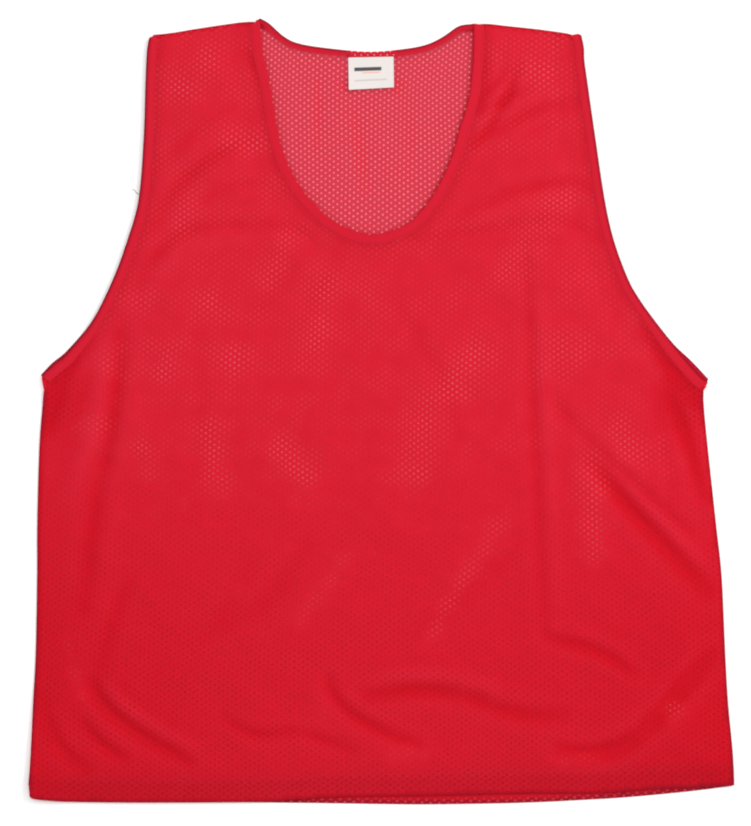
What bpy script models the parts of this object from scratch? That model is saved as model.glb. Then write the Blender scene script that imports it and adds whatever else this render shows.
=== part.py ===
"""A training bib laid flat: a sleeveless mesh vest, front up and back under.

The frame: +Z is up, +Y runs to the neck, and the wearer's left is at +X. The origin is on the floor, in the
middle of the bib's outline. Every size below is in millimetres; MM turns it into metres where a mesh is made.
"""

import math
from typing import Callable, NamedTuple

import bmesh
import bpy
import numpy as np
from mathutils import Vector
from mathutils.geometry import delaunay_2d_cdt

MM = 0.001

# Driving sizes.
SEAM_GAP = 0.3  # between two pieces that are sewn together
PANEL_WALL = 1.1  # one layer of the mesh cloth
HEM_EXTRA = 0.6  # what the turned-up second layer adds
HEM_HEIGHT = 16.5
STITCH_STEP = 1.4  # over this much the wall grows from one layer to the hem's two
BACK_BINDING_WALL = 1.6
FRONT_BINDING_WALL = 2.0
FRONT_NECK_WIDTH = 7.9
BACK_NECK_WIDTH = 6.5
ARMHOLE_WIDTH = 7.3
LABEL_WIDTH = 35.6
LABEL_HEIGHT = 25.2
LABEL_WALL = 1.0
LABEL_LEFT_END = 10.0  # x of the label's end at the wearer's left
LABEL_CURL = 0.9  # how far its free lower edge stands up

# How the front lies on the back.
FRONT_BASE = PANEL_WALL + SEAM_GAP
BINDING_BASE = BACK_BINDING_WALL + SEAM_GAP  # the front's bindings lie on the back's
BINDING_REACH = 14.0  # the front panel keeps that height this far in from a binding
BINDING_RUN = 12.0  # and comes down over this much
PUFF = 2.2  # air under the front's middle
PUFF_RUN = 34.0  # it rises to that over this distance from the edges

# How finely the shapes are divided.
CURVE_STEP = 14.0
GRID_STEP = 25.0
BACK_GRID_STEP = 70.0
NEAREST_POINTS = 5.5  # between two points beside folds
GRID_ROOM = 0.55  # round a grid point, in grid steps
EDGE_MARGIN = 4.5
FOLD_STEP = 15.0
FOLD_OFFSETS = (-1.7, -0.85, 0.0, 0.85, 1.7)  # in half widths of the fold


class Section(NamedTuple):
    """Where the garment ends on both sides, at one height."""

    y: float
    right: float
    left: float


class ArmholeRow(NamedTuple):
    """A point of the front's armhole edge, and how far the back's edge shows beyond it there."""

    x: float
    y: float
    back_shows: float


class HemRow(NamedTuple):
    """The two lower edges at one x."""

    x: float
    front: float
    back: float


class EdgePoint(NamedTuple):
    x: float
    y: float


class Fold(NamedTuple):
    """A soft trough, or a ridge where depth is negative, from one point to another."""

    name: str
    x0: float
    y0: float
    x1: float
    y1: float
    bow: float
    half_width: float
    depth: float


SIDES = (
    Section(16.0, -266.0, 254.9),
    Section(5.0, -267.0, 254.8),
    Section(-30.0, -270.0, 257.6),
    Section(-90.0, -271.6, 264.1),
    Section(-130.0, -271.8, 268.6),
    Section(-190.0, -272.4, 271.2),
    Section(-230.0, -274.8, 273.6),
    Section(-268.0, -277.1, 276.7),
    Section(-290.0, -279.0, 279.0),
    Section(-295.2, -279.2, 279.2),
)

# Both armholes run from the shoulder down to the armpit.
RIGHT_ARMHOLE = (
    ArmholeRow(-183.0, 297.2, 0.0),
    ArmholeRow(-186.2, 262.0, 0.0),
    ArmholeRow(-187.8, 214.0, 0.0),
    ArmholeRow(-191.8, 167.0, 0.0),
    ArmholeRow(-200.5, 135.0, 0.0),
    ArmholeRow(-212.3, 104.0, 0.0),
    ArmholeRow(-228.3, 71.5, 0.4),
    ArmholeRow(-246.5, 46.2, 2.4),
    ArmholeRow(-258.0, 35.8, 2.8),
    ArmholeRow(-268.2, 26.2, 1.4),
)
LEFT_ARMHOLE = (
    ArmholeRow(158.8, 297.6, 0.0),
    ArmholeRow(162.9, 262.0, 0.0),
    ArmholeRow(169.3, 214.0, 0.0),
    ArmholeRow(176.4, 167.0, 0.0),
    ArmholeRow(183.6, 135.0, 0.0),
    ArmholeRow(195.3, 104.0, 0.0),
    ArmholeRow(215.6, 71.8, 0.5),
    ArmholeRow(229.5, 51.8, 2.2),
    ArmholeRow(241.2, 37.2, 4.4),
    ArmholeRow(251.5, 26.2, 4.6),
    ArmholeRow(256.0, 21.5, 3.0),
)

SCOOP = (
    Section(307.6, -94.6, 72.5),
    Section(285.0, -93.8, 72.9),
    Section(268.0, -89.6, 72.0),
    Section(246.0, -85.6, 69.1),
    Section(220.0, -81.3, 61.3),
    Section(200.0, -75.6, 55.5),
    Section(181.0, -66.2, 46.8),
    Section(164.0, -53.0, 36.5),
    Section(148.0, -34.0, 20.5),
)
SCOOP_BOTTOM = EdgePoint(-6.1, 139.2)

# From the wearer's left neck corner to the right one.
BACK_NECKLINE = (
    EdgePoint(69.0, 306.0),
    EdgePoint(61.0, 304.4),
    EdgePoint(50.0, 297.2),
    EdgePoint(37.3, 290.9),
    EdgePoint(20.0, 287.0),
    EdgePoint(-8.0, 283.9),
    EdgePoint(-38.5, 286.3),
    EdgePoint(-63.8, 290.2),
    EdgePoint(-76.4, 295.9),
    EdgePoint(-88.5, 307.2),
    EdgePoint(-95.5, 310.5),
)

LEFT_SHOULDER = (
    EdgePoint(148.0, 298.4),
    EdgePoint(126.0, 301.6),
    EdgePoint(100.0, 304.2),
    EdgePoint(83.0, 305.6),
)
RIGHT_SHOULDER = (
    EdgePoint(-103.2, 307.8),
    EdgePoint(-120.0, 305.9),
    EdgePoint(-148.0, 301.7),
    EdgePoint(-173.0, 298.4),
)

HEM = (
    HemRow(-275.6, -304.6, -304.2),
    HemRow(-262.9, -307.0, -306.6),
    HemRow(-184.0, -308.6, -308.2),
    HemRow(-100.0, -308.4, -308.2),
    HemRow(-40.0, -307.2, -308.6),
    HemRow(6.5, -304.2, -309.6),
    HemRow(40.0, -302.8, -310.5),
    HemRow(94.0, -301.6, -309.8),
    HemRow(152.0, -302.2, -307.0),
    HemRow(183.0, -300.4, -305.0),
    HemRow(216.0, -299.0, -302.3),
    HemRow(250.0, -297.6, -298.6),
    HemRow(277.0, -295.8, -295.6),
)

# The front's largest folds. Most fan out from the armpits, the shoulders and the hem's corners.
FOLDS = (
    Fold("right_armpit_deep", -227.0, 53.0, -252.0, -9.0, 4.0, 7.0, 1.9),
    Fold("right_armpit_ridge", -214.0, 56.0, -240.0, -24.0, 4.0, 8.0, -1.2),
    Fold("right_armpit_inner", -206.8, 23.0, -223.4, -55.0, 3.0, 8.0, 1.6),
    Fold("right_side_long", -217.0, -27.0, -237.0, -123.0, 4.0, 10.0, 1.4),
    Fold("right_hem_corner", -264.5, -233.6, -236.8, -285.0, 2.0, 8.0, 1.5),
    Fold("right_hem_second", -236.8, -247.0, -200.5, -281.0, 2.0, 7.0, 1.5),
    Fold("right_hem_long", -221.8, -221.8, -152.3, -277.9, 3.0, 8.0, 1.6),
    Fold("left_hem_long", 239.6, -219.4, 148.7, -265.2, -16.0, 9.0, 1.8),
    Fold("left_hem_ridge", 232.0, -240.0, 150.0, -282.0, -14.0, 8.0, -1.0),
    Fold("left_hem_inner", 138.4, -177.6, 211.1, -209.2, -3.0, 8.0, 1.4),
    Fold("left_hem_side", 234.0, -214.7, 264.0, -188.0, 2.0, 7.0, 1.2),
    Fold("middle_hem_short", 90.0, -236.0, 126.0, -246.0, 1.0, 7.0, 1.2),
    Fold("left_waist_deep", 166.9, -39.3, 252.0, -136.0, 3.0, 8.0, 1.9),
    Fold("left_waist_second", 187.4, -22.7, 250.0, -82.0, 2.0, 7.0, 1.5),
    Fold("left_waist_ridge", 178.0, -20.0, 248.0, -104.0, 2.0, 7.0, -1.1),
    Fold("left_front_valley", 117.0, 104.0, 112.0, -188.0, 13.0, 14.0, 1.5),
    Fold("left_armpit", 201.6, 72.1, 228.5, 23.9, -3.0, 6.0, 1.6),
    Fold("left_shoulder_low", 78.4, 217.4, 104.5, 246.0, 2.0, 6.0, 1.3),
    Fold("left_shoulder_middle", 112.4, 215.9, 155.0, 240.4, 2.0, 7.0, 1.4),
    Fold("left_chest", 112.4, 170.8, 160.0, 185.0, 2.0, 8.0, 1.4),
    Fold("right_shoulder", -176.0, 190.0, -118.3, 240.4, 3.0, 8.0, 1.4),
    Fold("right_chest", -141.2, 166.1, -95.4, 181.1, 2.0, 8.0, 1.4),
    Fold("right_armhole_low", -184.0, 132.5, -132.5, 155.8, 2.0, 7.0, 1.3),
)

# A binding's cross-section: a tape folded over the cloth's edge, with a rounded nose where it is folded.
# The columns are the share of its width from the finished edge and the share of its wall from below.
BINDING_SECTION = ((0.0, 0.5), (0.12, 0.0), (1.0, 0.0), (1.0, 1.0), (0.12, 1.0))


class Finish(NamedTuple):
    """A plain colour for each kind of piece."""

    colour: tuple[float, float, float]
    roughness: float


MESH_CLOTH = Finish((0.68, 0.016, 0.036), 0.72)
BINDING_TAPE = Finish((0.70, 0.018, 0.040), 0.62)
LABEL_TAPE = Finish((0.88, 0.85, 0.82), 0.80)


def clear_scene() -> None:
    """Removes whatever the scene holds."""
    for obj in list(bpy.data.objects):
        bpy.data.objects.remove(obj, do_unlink=True)


def smooth_curve(points, step: float = CURVE_STEP) -> np.ndarray:
    """Points at even steps along a Catmull-Rom curve through the given ones; their own ends stay."""
    knots = np.array(points, float)
    ends = np.vstack([2 * knots[0] - knots[1], knots, 2 * knots[-1] - knots[-2]])
    dense = []
    for a, b, c, d in zip(ends, ends[1:], ends[2:], ends[3:]):
        t = np.linspace(0.0, 1.0, 24, endpoint=False)[:, None]
        square, cube = (2 * a - 5 * b + 4 * c - d) * t**2, (3 * b - a - 3 * c + d) * t**3
        dense.append(0.5 * (2 * b + (c - a) * t + square + cube))
    line = np.vstack([*dense, knots[-1:]])
    along = np.concatenate([[0.0], np.cumsum(np.linalg.norm(np.diff(line[:, :2], axis=0), axis=1))])
    wanted = np.linspace(0.0, along[-1], max(2, round(along[-1] / step) + 1))
    return np.column_stack([np.interp(wanted, along, line[:, k]) for k in range(line.shape[1])])


def inset(curve: np.ndarray, distance) -> np.ndarray:
    """The curve moved to its left by a distance, which may differ from point to point."""
    along = np.gradient(curve[:, :2], axis=0)
    along /= np.linalg.norm(along, axis=1)[:, None]
    to_left = np.column_stack([-along[:, 1], along[:, 0]])
    return curve[:, :2] + to_left * np.broadcast_to(np.asarray(distance, float), len(curve))[:, None]


def armhole_edge(rows, rising: bool, back: bool) -> np.ndarray:
    """The finished edge of one armhole, walked with the cloth on the left."""
    curve = smooth_curve(rows[::-1] if rising else rows)
    return inset(curve, -curve[:, 2]) if back else curve[:, :2]


def scoop_edge() -> np.ndarray:
    """The front neckline's finished edge, from the wearer's left shoulder round to the right one."""
    down = [(row.left, row.y) for row in SCOOP]
    up = [(row.right, row.y) for row in reversed(SCOOP)]
    return smooth_curve([*down, SCOOP_BOTTOM, *up], 12.0)


def hem_line(back: bool) -> np.ndarray:
    """The lower edge of one panel, from the wearer's right to the left."""
    return smooth_curve([(row.x, row.back if back else row.front) for row in HEM], 2 * CURVE_STEP)


def side_lines() -> tuple[np.ndarray, np.ndarray]:
    """The wearer's left side going up, and the right side going down."""
    left = smooth_curve([(row.left, row.y) for row in reversed(SIDES)], 2 * CURVE_STEP)
    right = smooth_curve([(row.right, row.y) for row in SIDES], 2 * CURVE_STEP)
    return left, right


def panel_outline(neck: np.ndarray, back: bool) -> np.ndarray:
    """One panel's edge, counter-clockwise.

    It runs beside the bindings at the neck and armholes, and is the garment's own edge elsewhere.
    """
    beside_binding = ARMHOLE_WIDTH + SEAM_GAP
    left_side, right_side = side_lines()
    return np.vstack([
        hem_line(back),
        left_side,
        inset(armhole_edge(LEFT_ARMHOLE, True, back), beside_binding),
        np.array(LEFT_SHOULDER),
        neck,
        np.array(RIGHT_SHOULDER),
        inset(armhole_edge(RIGHT_ARMHOLE, False, back), beside_binding),
        right_side,
    ])


def distance_to_line(points: np.ndarray, line: np.ndarray) -> np.ndarray:
    """How far each point is from the nearest stretch of a line of points."""
    start, along = line[:-1], np.diff(line, axis=0)
    from_start = points[:, None, :] - start
    share = np.clip((from_start * along).sum(2) / np.maximum((along**2).sum(1), 1e-9), 0.0, 1.0)
    return np.linalg.norm(from_start - share[:, :, None] * along, axis=2).min(axis=1)


def is_inside(points: np.ndarray, outline: np.ndarray) -> np.ndarray:
    """Which points lie inside the closed outline, by counting its crossings to their right."""
    start, end = outline, np.roll(outline, -1, axis=0)
    x, y = points[:, :1], points[:, 1:]
    spans = (start[:, 1] > y) != (end[:, 1] > y)
    rise = np.where(end[:, 1] == start[:, 1], 1.0, end[:, 1] - start[:, 1])
    crossing = start[:, 0] + (y - start[:, 1]) * (end[:, 0] - start[:, 0]) / rise
    return (spans & (x < crossing)).sum(axis=1) % 2 == 1


def smooth_step(value: np.ndarray) -> np.ndarray:
    """0 to 1, level at both ends."""
    t = np.clip(value, 0.0, 1.0)
    return t * t * (3.0 - 2.0 * t)


def fold_axes(fold: Fold) -> tuple[np.ndarray, float, np.ndarray, np.ndarray]:
    """A fold's start, its length, and its directions along and across."""
    start, end = np.array([fold.x0, fold.y0]), np.array([fold.x1, fold.y1])
    length = float(np.linalg.norm(end - start))
    along = (end - start) / length
    return start, length, along, np.array([-along[1], along[0]])


def fold_rows(fold: Fold) -> list[np.ndarray]:
    """Rows of points on a fold's bowed line and beside it."""
    start, length, along, across = fold_axes(fold)
    share = np.linspace(0.0, 1.0, max(3, round(length / FOLD_STEP) + 1))[:, None]
    line = start + along * length * share + across * fold.bow * np.sin(math.pi * share)
    return [line + across * fold.half_width * off for off in FOLD_OFFSETS]


def fold_depth(points: np.ndarray) -> np.ndarray:
    """How far the folds lower the front at each point."""
    total = np.zeros(len(points))
    for fold in FOLDS:
        start, length, along, across = fold_axes(fold)
        share = (points - start) @ along / length
        inside = np.clip(share, 0.0, 1.0)
        off = (points - start) @ across - fold.bow * np.sin(math.pi * inside)
        past_end = (share - inside) * length
        fade = np.sin(math.pi * np.clip(0.08 + 0.84 * inside, 0.0, 1.0)) ** 0.6
        total += fold.depth * fade * np.exp(-(off**2 + past_end**2) / fold.half_width**2)
    return total


def inner_points(outline: np.ndarray, rows, step: float, folds) -> np.ndarray:
    """Points inside a panel, clear of the rows: beside each fold, then an even grid where there is room."""
    wanted = [row for fold in folds for row in fold_rows(fold)]
    low, high = outline.min(axis=0), outline.max(axis=0)
    row_height = step * math.sqrt(3.0) / 2.0
    grid = [
        (low[0] + column * step + (row % 2) * step / 2.0, low[1] + row * row_height)
        for row in range(int((high[1] - low[1]) / row_height) + 1)
        for column in range(int((high[0] - low[0]) / step) + 1)
    ]
    points = np.vstack([*wanted, np.array(grid)])
    from_fold = np.arange(len(points)) < len(points) - len(grid)
    room = np.where(from_fold, NEAREST_POINTS, GRID_ROOM * step)
    margin = np.where(from_fold, EDGE_MARGIN, 2.0 * EDGE_MARGIN)
    lines = [np.vstack([outline, outline[:1]]), *rows]
    clear = np.min([distance_to_line(points, line) for line in lines], axis=0)
    fits = is_inside(points, outline) & (clear > margin)
    kept = []
    for point, space in zip(points[fits], room[fits]):
        if not kept or np.linalg.norm(np.array(kept) - point, axis=1).min() > space:
            kept.append(point)
    return np.array(kept)


def hem_share(points: np.ndarray, back: bool) -> np.ndarray:
    """1 in the turned-up hem, 0 above its stitching."""
    edge = hem_line(back)
    height = points[:, 1] - np.interp(points[:, 0], edge[:, 0], edge[:, 1])
    return 1.0 - smooth_step((height - HEM_HEIGHT + STITCH_STEP / 2.0) / STITCH_STEP)


def stitch_rows(outline: np.ndarray, back: bool) -> list[np.ndarray]:
    """Two rows of points along the hem's stitching, just clear of the sides, so that the wall steps there."""
    edge = hem_line(back)
    rows = []
    for side in (-1.0, 1.0):
        dense = np.column_stack([np.linspace(outline[:, 0].min(), outline[:, 0].max(), 400)] * 2)
        dense[:, 1] = np.interp(dense[:, 0], edge[:, 0], edge[:, 1]) + HEM_HEIGHT + side * STITCH_STEP / 2.0
        clear = is_inside(dense, outline) & (distance_to_line(dense, outline) > STITCH_STEP)
        rows.append(smooth_curve(dense[clear], 2 * CURVE_STEP))
    return rows


def front_underside(points: np.ndarray) -> np.ndarray:
    """Height of the front's lower face: low at its edges, higher beside bindings, puffed between folds."""
    bindings = [
        armhole_edge(LEFT_ARMHOLE, True, False),
        armhole_edge(RIGHT_ARMHOLE, False, False),
        scoop_edge(),
    ]
    near = np.min([distance_to_line(points, line) for line in bindings], axis=0)
    over_binding = 1.0 - smooth_step((near - BINDING_REACH) / BINDING_RUN)
    over_hem = np.maximum(hem_share(points, False), hem_share(points, True))
    base = FRONT_BASE + np.maximum((BINDING_BASE - FRONT_BASE) * over_binding, HEM_EXTRA * over_hem)
    outline = panel_outline(inset(scoop_edge(), FRONT_NECK_WIDTH + SEAM_GAP), False)
    inward = distance_to_line(points, np.vstack([outline, outline[:1]]))
    rise = smooth_step((inward - 2.0) / PUFF_RUN)
    return base + np.maximum((PUFF - fold_depth(points)) * rise, 0.0)


def add_material(obj: bpy.types.Object, finish: Finish) -> None:
    """Gives the object a Principled material of its own."""
    material = bpy.data.materials.new(obj.name)
    material.use_nodes = True
    shader = material.node_tree.nodes["Principled BSDF"]
    shader.inputs["Base Color"].default_value = (*finish.colour, 1.0)
    shader.inputs["Roughness"].default_value = finish.roughness
    shader.inputs["Metallic"].default_value = 0.0
    obj.data.materials.append(material)


def add_object(name: str, bm: bmesh.types.BMesh, finish: Finish) -> bpy.types.Object:
    """Turns a bmesh into a named object with smooth cloth faces and sharp cut edges."""
    bmesh.ops.recalc_face_normals(bm, faces=bm.faces)
    mesh = bpy.data.meshes.new(name)
    bm.to_mesh(mesh)
    bm.free()
    mesh.shade_smooth()
    mesh.set_sharp_from_angle(angle=math.radians(40.0))
    obj = bpy.data.objects.new(name, mesh)
    bpy.context.scene.collection.objects.link(obj)
    add_material(obj, finish)
    return obj


def cloth_wall(
    name: str,
    outline: np.ndarray,
    rows,
    inner: np.ndarray,
    underside: Callable,
    wall: Callable,
    finish: Finish,
) -> bpy.types.Object:
    """A piece of cloth as a closed wall.

    Its outline is filled with triangles, which keep the rows of points as edges. They are laid at the
    underside's height and extruded by the wall.
    """
    plan = [Vector(point) for point in np.vstack([outline, *rows, inner])]
    edges, first = [], len(outline)
    for row in rows:
        edges += [(first + k, first + k + 1) for k in range(len(row) - 1)]
        first += len(row)
    verts, _, triangles, _, _, _ = delaunay_2d_cdt(plan, edges, [list(range(len(outline)))], 1, 1e-6)
    flat = np.array([vert[:] for vert in verts])
    low, thick = underside(flat), wall(flat)
    bm = bmesh.new()
    lower = [bm.verts.new((x * MM, y * MM, z * MM)) for (x, y), z in zip(flat, low)]
    for triangle in triangles:
        bm.faces.new([lower[index] for index in triangle])
    bm.verts.index_update()
    walls = {tuple(vert.co[:2]): height for vert, height in zip(lower, thick)}
    loose = [vert for vert in bm.verts if not vert.link_faces]
    bmesh.ops.delete(bm, geom=loose, context="VERTS")
    raised = bmesh.ops.extrude_face_region(bm, geom=bm.faces[:])["geom"]
    for vert in (item for item in raised if isinstance(item, bmesh.types.BMVert)):
        vert.co.z += walls[tuple(vert.co[:2])] * MM
    return add_object(name, bm, finish)


def binding(name: str, edge: np.ndarray, width: float, base: float, wall: float) -> bpy.types.Object:
    """A strip of folded tape along a finished edge, with the cloth on the edge's left."""
    bm = bmesh.new()
    rings = []
    lines = [(inset(edge, width * across), base + wall * up) for across, up in BINDING_SECTION]
    for station in range(len(edge)):
        ring = [(line[station, 0] * MM, line[station, 1] * MM, z * MM) for line, z in lines]
        rings.append([bm.verts.new(corner) for corner in ring])
    for ring, following in zip(rings, rings[1:]):
        for k in range(len(ring)):
            after = (k + 1) % len(ring)
            bm.faces.new((ring[k], ring[after], following[after], following[k]))
    bm.faces.new(rings[0])
    bm.faces.new(rings[-1])
    return add_object(name, bm, BINDING_TAPE)


def build_back(neckline: np.ndarray) -> None:
    """The back panel lies flat. Its own folded edge shows above the label, where the neck binding stops."""
    label_start = LABEL_LEFT_END - LABEL_WIDTH
    beside_label = (neckline[:, 0] > label_start) & (neckline[:, 0] < LABEL_LEFT_END)
    cover = np.where(beside_label, 0.0, BACK_NECK_WIDTH + SEAM_GAP)
    outline = panel_outline(inset(neckline, cover), True)
    rows = stitch_rows(outline, True)
    cloth_wall(
        "back_panel",
        outline,
        rows,
        inner_points(outline, rows, BACK_GRID_STEP, ()),
        lambda points: np.zeros(len(points)),
        lambda points: PANEL_WALL + HEM_EXTRA * hem_share(points, True),
        MESH_CLOTH,
    )


def build_front(scoop: np.ndarray) -> None:
    """The front panel lies on the back, puffed and folded."""
    outline = panel_outline(inset(scoop, FRONT_NECK_WIDTH + SEAM_GAP), False)
    rows = stitch_rows(outline, False)
    cloth_wall(
        "front_panel",
        outline,
        rows,
        inner_points(outline, rows, GRID_STEP, FOLDS),
        front_underside,
        lambda points: PANEL_WALL + HEM_EXTRA * hem_share(points, False),
        MESH_CLOTH,
    )


def build_bindings(scoop: np.ndarray, neckline: np.ndarray) -> None:
    """The tape round the neck and both armholes, each in a front and a back stretch."""
    binding("neck_binding_front", scoop, FRONT_NECK_WIDTH, BINDING_BASE, FRONT_BINDING_WALL)
    label_start = LABEL_LEFT_END - LABEL_WIDTH
    stretches = {
        "neck_binding_back_left": neckline[neckline[:, 0] > LABEL_LEFT_END + SEAM_GAP],
        "neck_binding_back_right": neckline[neckline[:, 0] < label_start - SEAM_GAP],
    }
    for name, edge in stretches.items():
        binding(name, edge, BACK_NECK_WIDTH, 0.0, BACK_BINDING_WALL)
    for side, rows, rising in (("left", LEFT_ARMHOLE, True), ("right", RIGHT_ARMHOLE, False)):
        front, back = armhole_edge(rows, rising, False), armhole_edge(rows, rising, True)
        binding(f"armhole_binding_{side}_front", front, ARMHOLE_WIDTH, BINDING_BASE, FRONT_BINDING_WALL)
        binding(f"armhole_binding_{side}_back", back, ARMHOLE_WIDTH, 0.0, BACK_BINDING_WALL)


def build_label(neckline: np.ndarray) -> None:
    """A plain woven label, sewn in at its top and lying on the back's inner face with its free edge raised."""
    edge_y = np.interp(LABEL_LEFT_END - LABEL_WIDTH / 2.0, neckline[::-1, 0], neckline[::-1, 1])
    top = edge_y - BACK_NECK_WIDTH + 2.0
    left, right = LABEL_LEFT_END, LABEL_LEFT_END - LABEL_WIDTH
    rows = np.linspace(top, top - LABEL_HEIGHT, 6)
    outline = np.array([*((right, y) for y in rows), *((left, y) for y in rows[::-1])])
    cloth_wall(
        "neck_label",
        outline,
        (),
        np.empty((0, 2)),
        lambda points: PANEL_WALL + SEAM_GAP + LABEL_CURL * ((top - points[:, 1]) / LABEL_HEIGHT) ** 2,
        lambda points: np.full(len(points), LABEL_WALL),
        LABEL_TAPE,
    )


def back_neckline() -> np.ndarray:
    """The back neckline's finished edge, with points at the ends of its two bindings."""
    curve = smooth_curve(BACK_NECKLINE, 9.0)
    stops = [LABEL_LEFT_END + 0.5, LABEL_LEFT_END - 0.5]
    stops += [x - LABEL_WIDTH for x in stops]
    dense = smooth_curve(BACK_NECKLINE, 0.5)
    added = [dense[np.abs(dense[:, 0] - x).argmin()] for x in stops]
    apart = [np.abs(np.array(stops) - x).min() > 2.0 for x in curve[:, 0]]
    both = np.vstack([curve[apart], added])
    return both[np.argsort(-both[:, 0])]


def build() -> None:
    """Makes every piece of the bib."""
    clear_scene()
    scoop, neckline = scoop_edge(), back_neckline()
    build_back(neckline)
    build_front(scoop)
    build_bindings(scoop, neckline)
    build_label(neckline)


build()
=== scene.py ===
"""The looks of a training bib laid flat: two panels of holed mesh, their tape, hems, seams and stitches.

Every shape is worked out in millimetres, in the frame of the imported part: +Z up, +Y to the neck, and the
wearer's left at +X. MM turns a length into metres where a mesh is made.
"""

import logging
import math
from dataclasses import dataclass, field, replace
from enum import Enum
from typing import Callable, NamedTuple, Sequence, Union

import bpy
import numpy as np
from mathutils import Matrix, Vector
from mathutils.geometry import delaunay_2d_cdt


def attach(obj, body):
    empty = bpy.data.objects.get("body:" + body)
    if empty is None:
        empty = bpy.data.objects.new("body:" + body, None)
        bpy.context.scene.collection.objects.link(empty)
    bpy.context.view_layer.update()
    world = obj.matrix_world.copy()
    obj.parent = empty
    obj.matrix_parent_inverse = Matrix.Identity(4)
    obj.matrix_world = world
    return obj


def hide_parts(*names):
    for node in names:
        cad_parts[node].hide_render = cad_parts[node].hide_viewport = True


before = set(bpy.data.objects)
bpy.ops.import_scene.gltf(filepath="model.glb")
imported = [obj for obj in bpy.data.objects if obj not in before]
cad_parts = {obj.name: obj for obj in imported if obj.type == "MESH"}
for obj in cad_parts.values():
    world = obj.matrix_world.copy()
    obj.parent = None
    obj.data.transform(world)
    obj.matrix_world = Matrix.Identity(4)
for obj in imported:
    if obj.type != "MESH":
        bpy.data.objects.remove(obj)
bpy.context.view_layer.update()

LOG = logging.getLogger("bib")
MM = 0.001
ROOT = "root"
UP = np.array([0.0, 0.0, 1.0])
AT_ONCE = 4000  # how many points are measured against a line together
CURVE_PARTS = 24  # how finely each stretch of a curve is followed
KNIT_MAP = "knit"
# The cloth's second map. It carries painted light and painted shade, and how close the layers lie.
LIGHT_SHADE_MAP = "tone"
Colour = tuple[float, float, float]
Place = tuple[float, float, float]
Pair = tuple[float, float]
Shares = tuple[float, ...]
Array = np.ndarray
Amount = Union[Array, float]
Piece = bpy.types.Object
Material = bpy.types.Material
Socket = bpy.types.NodeSocket
Settings = dict[Union[str, int], object]


class Layer(Enum):
    """Which of the bib's two layers a piece belongs to."""

    FRONT = "front"
    BACK = "back"


class Side(Enum):
    """The wearer's own right and left, with the sign of their x."""

    RIGHT = -1
    LEFT = 1


class Slot(Enum):
    """The record's material slots."""

    MESH = "mesh_cloth"
    TAPE = "binding_tape"
    LABEL = "label_tape"


# ---- The bib's edges and creases, read from the laid-out garment ----


class Section(NamedTuple):
    """Where an edge runs on both sides, at one height."""

    y: float
    right: float
    left: float


class ArmholeRow(NamedTuple):
    """A point of the front's armhole edge, and how far the back's edge shows beyond it there."""

    x: float
    y: float
    back_shows: float


class HemRow(NamedTuple):
    """The two lower edges at one x."""

    x: float
    front: float
    back: float


class EdgePoint(NamedTuple):
    """A point of an edge."""

    x: float
    y: float


class Crease(NamedTuple):
    """A soft trough through three points, or a ridge where depth is negative."""

    x0: float
    y0: float
    x1: float
    y1: float
    x2: float
    y2: float
    half_width: float
    depth: float


class Window(NamedTuple):
    """A patch, along a short line, where the holes of both layers meet and the surface shows through."""

    x0: float
    y0: float
    x1: float
    y1: float
    radius: float
    strength: float


def table(kind: Callable[..., tuple], *rows: tuple) -> tuple:
    """A table whose rows are all of one kind."""
    return tuple(kind(*row) for row in rows)


SIDES = table(
    Section,
    (16, -266.2, 255),
    (5, -267.2, 255.1),
    (-30, -269.8, 258.5),
    (-90, -271.4, 265),
    (-130, -271.5, 269.3),
    (-190, -272.6, 272.1),
    (-230, -274.6, 274.4),
    (-268, -276.2, 278),
    (-290, -277.6, 279.1),
    (-295.2, -278, 279.2),
)

RIGHT_ARMHOLE = table(
    ArmholeRow,
    (-182.4, 296.3, 0),
    (-184.4, 285, 0),
    (-185.6, 262, 0),
    (-187.2, 214, 0),
    (-191.2, 167, 0),
    (-200, 135, 0),
    (-211.4, 104, 0),
    (-227.5, 71.5, 0.4),
    (-246, 46.2, 2.4),
    (-257.8, 35.8, 2.8),
    (-268.8, 26.4, 1.2),
)
LEFT_ARMHOLE = table(
    ArmholeRow,
    (157.9, 298.4, 0),
    (160.3, 287, 0),
    (160.6, 278, 0),
    (162.7, 262, 0),
    (169.6, 214, 0),
    (176.7, 167, 0),
    (183.9, 135, 0),
    (195.3, 104, 0),
    (205.3, 86.6, 0.2),
    (215.6, 71.9, 0.5),
    (229.5, 51.8, 2.2),
    (241.4, 37.4, 4.4),
    (251.6, 26.4, 4.6),
    (258.4, 21.5, 3),
)

SCOOP = table(
    Section,
    (307.4, -95, 73.4),
    (285, -93.8, 73.1),
    (268, -89.6, 72),
    (246, -85.6, 69.1),
    (220, -81.3, 61.3),
    (200, -75.6, 55.5),
    (181, -66.2, 46.8),
    (164, -53, 36.5),
    (148, -34, 20.5),
)
SCOOP_BOTTOM = EdgePoint(-6.1, 139.2)

BACK_NECKLINE = table(
    EdgePoint,
    (69.6, 305.8),
    (61, 303.9),
    (50, 296.3),
    (37.3, 290),
    (20, 286.3),
    (-8, 283.9),
    (-38.5, 286.3),
    (-63.8, 290.2),
    (-76.4, 295.9),
    (-88.5, 306.5),
    (-97.4, 311.3),
)

LEFT_SHOULDER = table(
    EdgePoint,
    (150.6, 297.4),
    (145, 298.7),
    (126, 301.5),
    (100, 304.3),
    (84, 305.9),
    (76, 305.4),
)
RIGHT_SHOULDER = table(
    EdgePoint,
    (-98.6, 307.4),
    (-106, 307.4),
    (-120, 305.9),
    (-148, 301.7),
    (-166, 298.6),
    (-179.5, 297.2),
)

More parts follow.
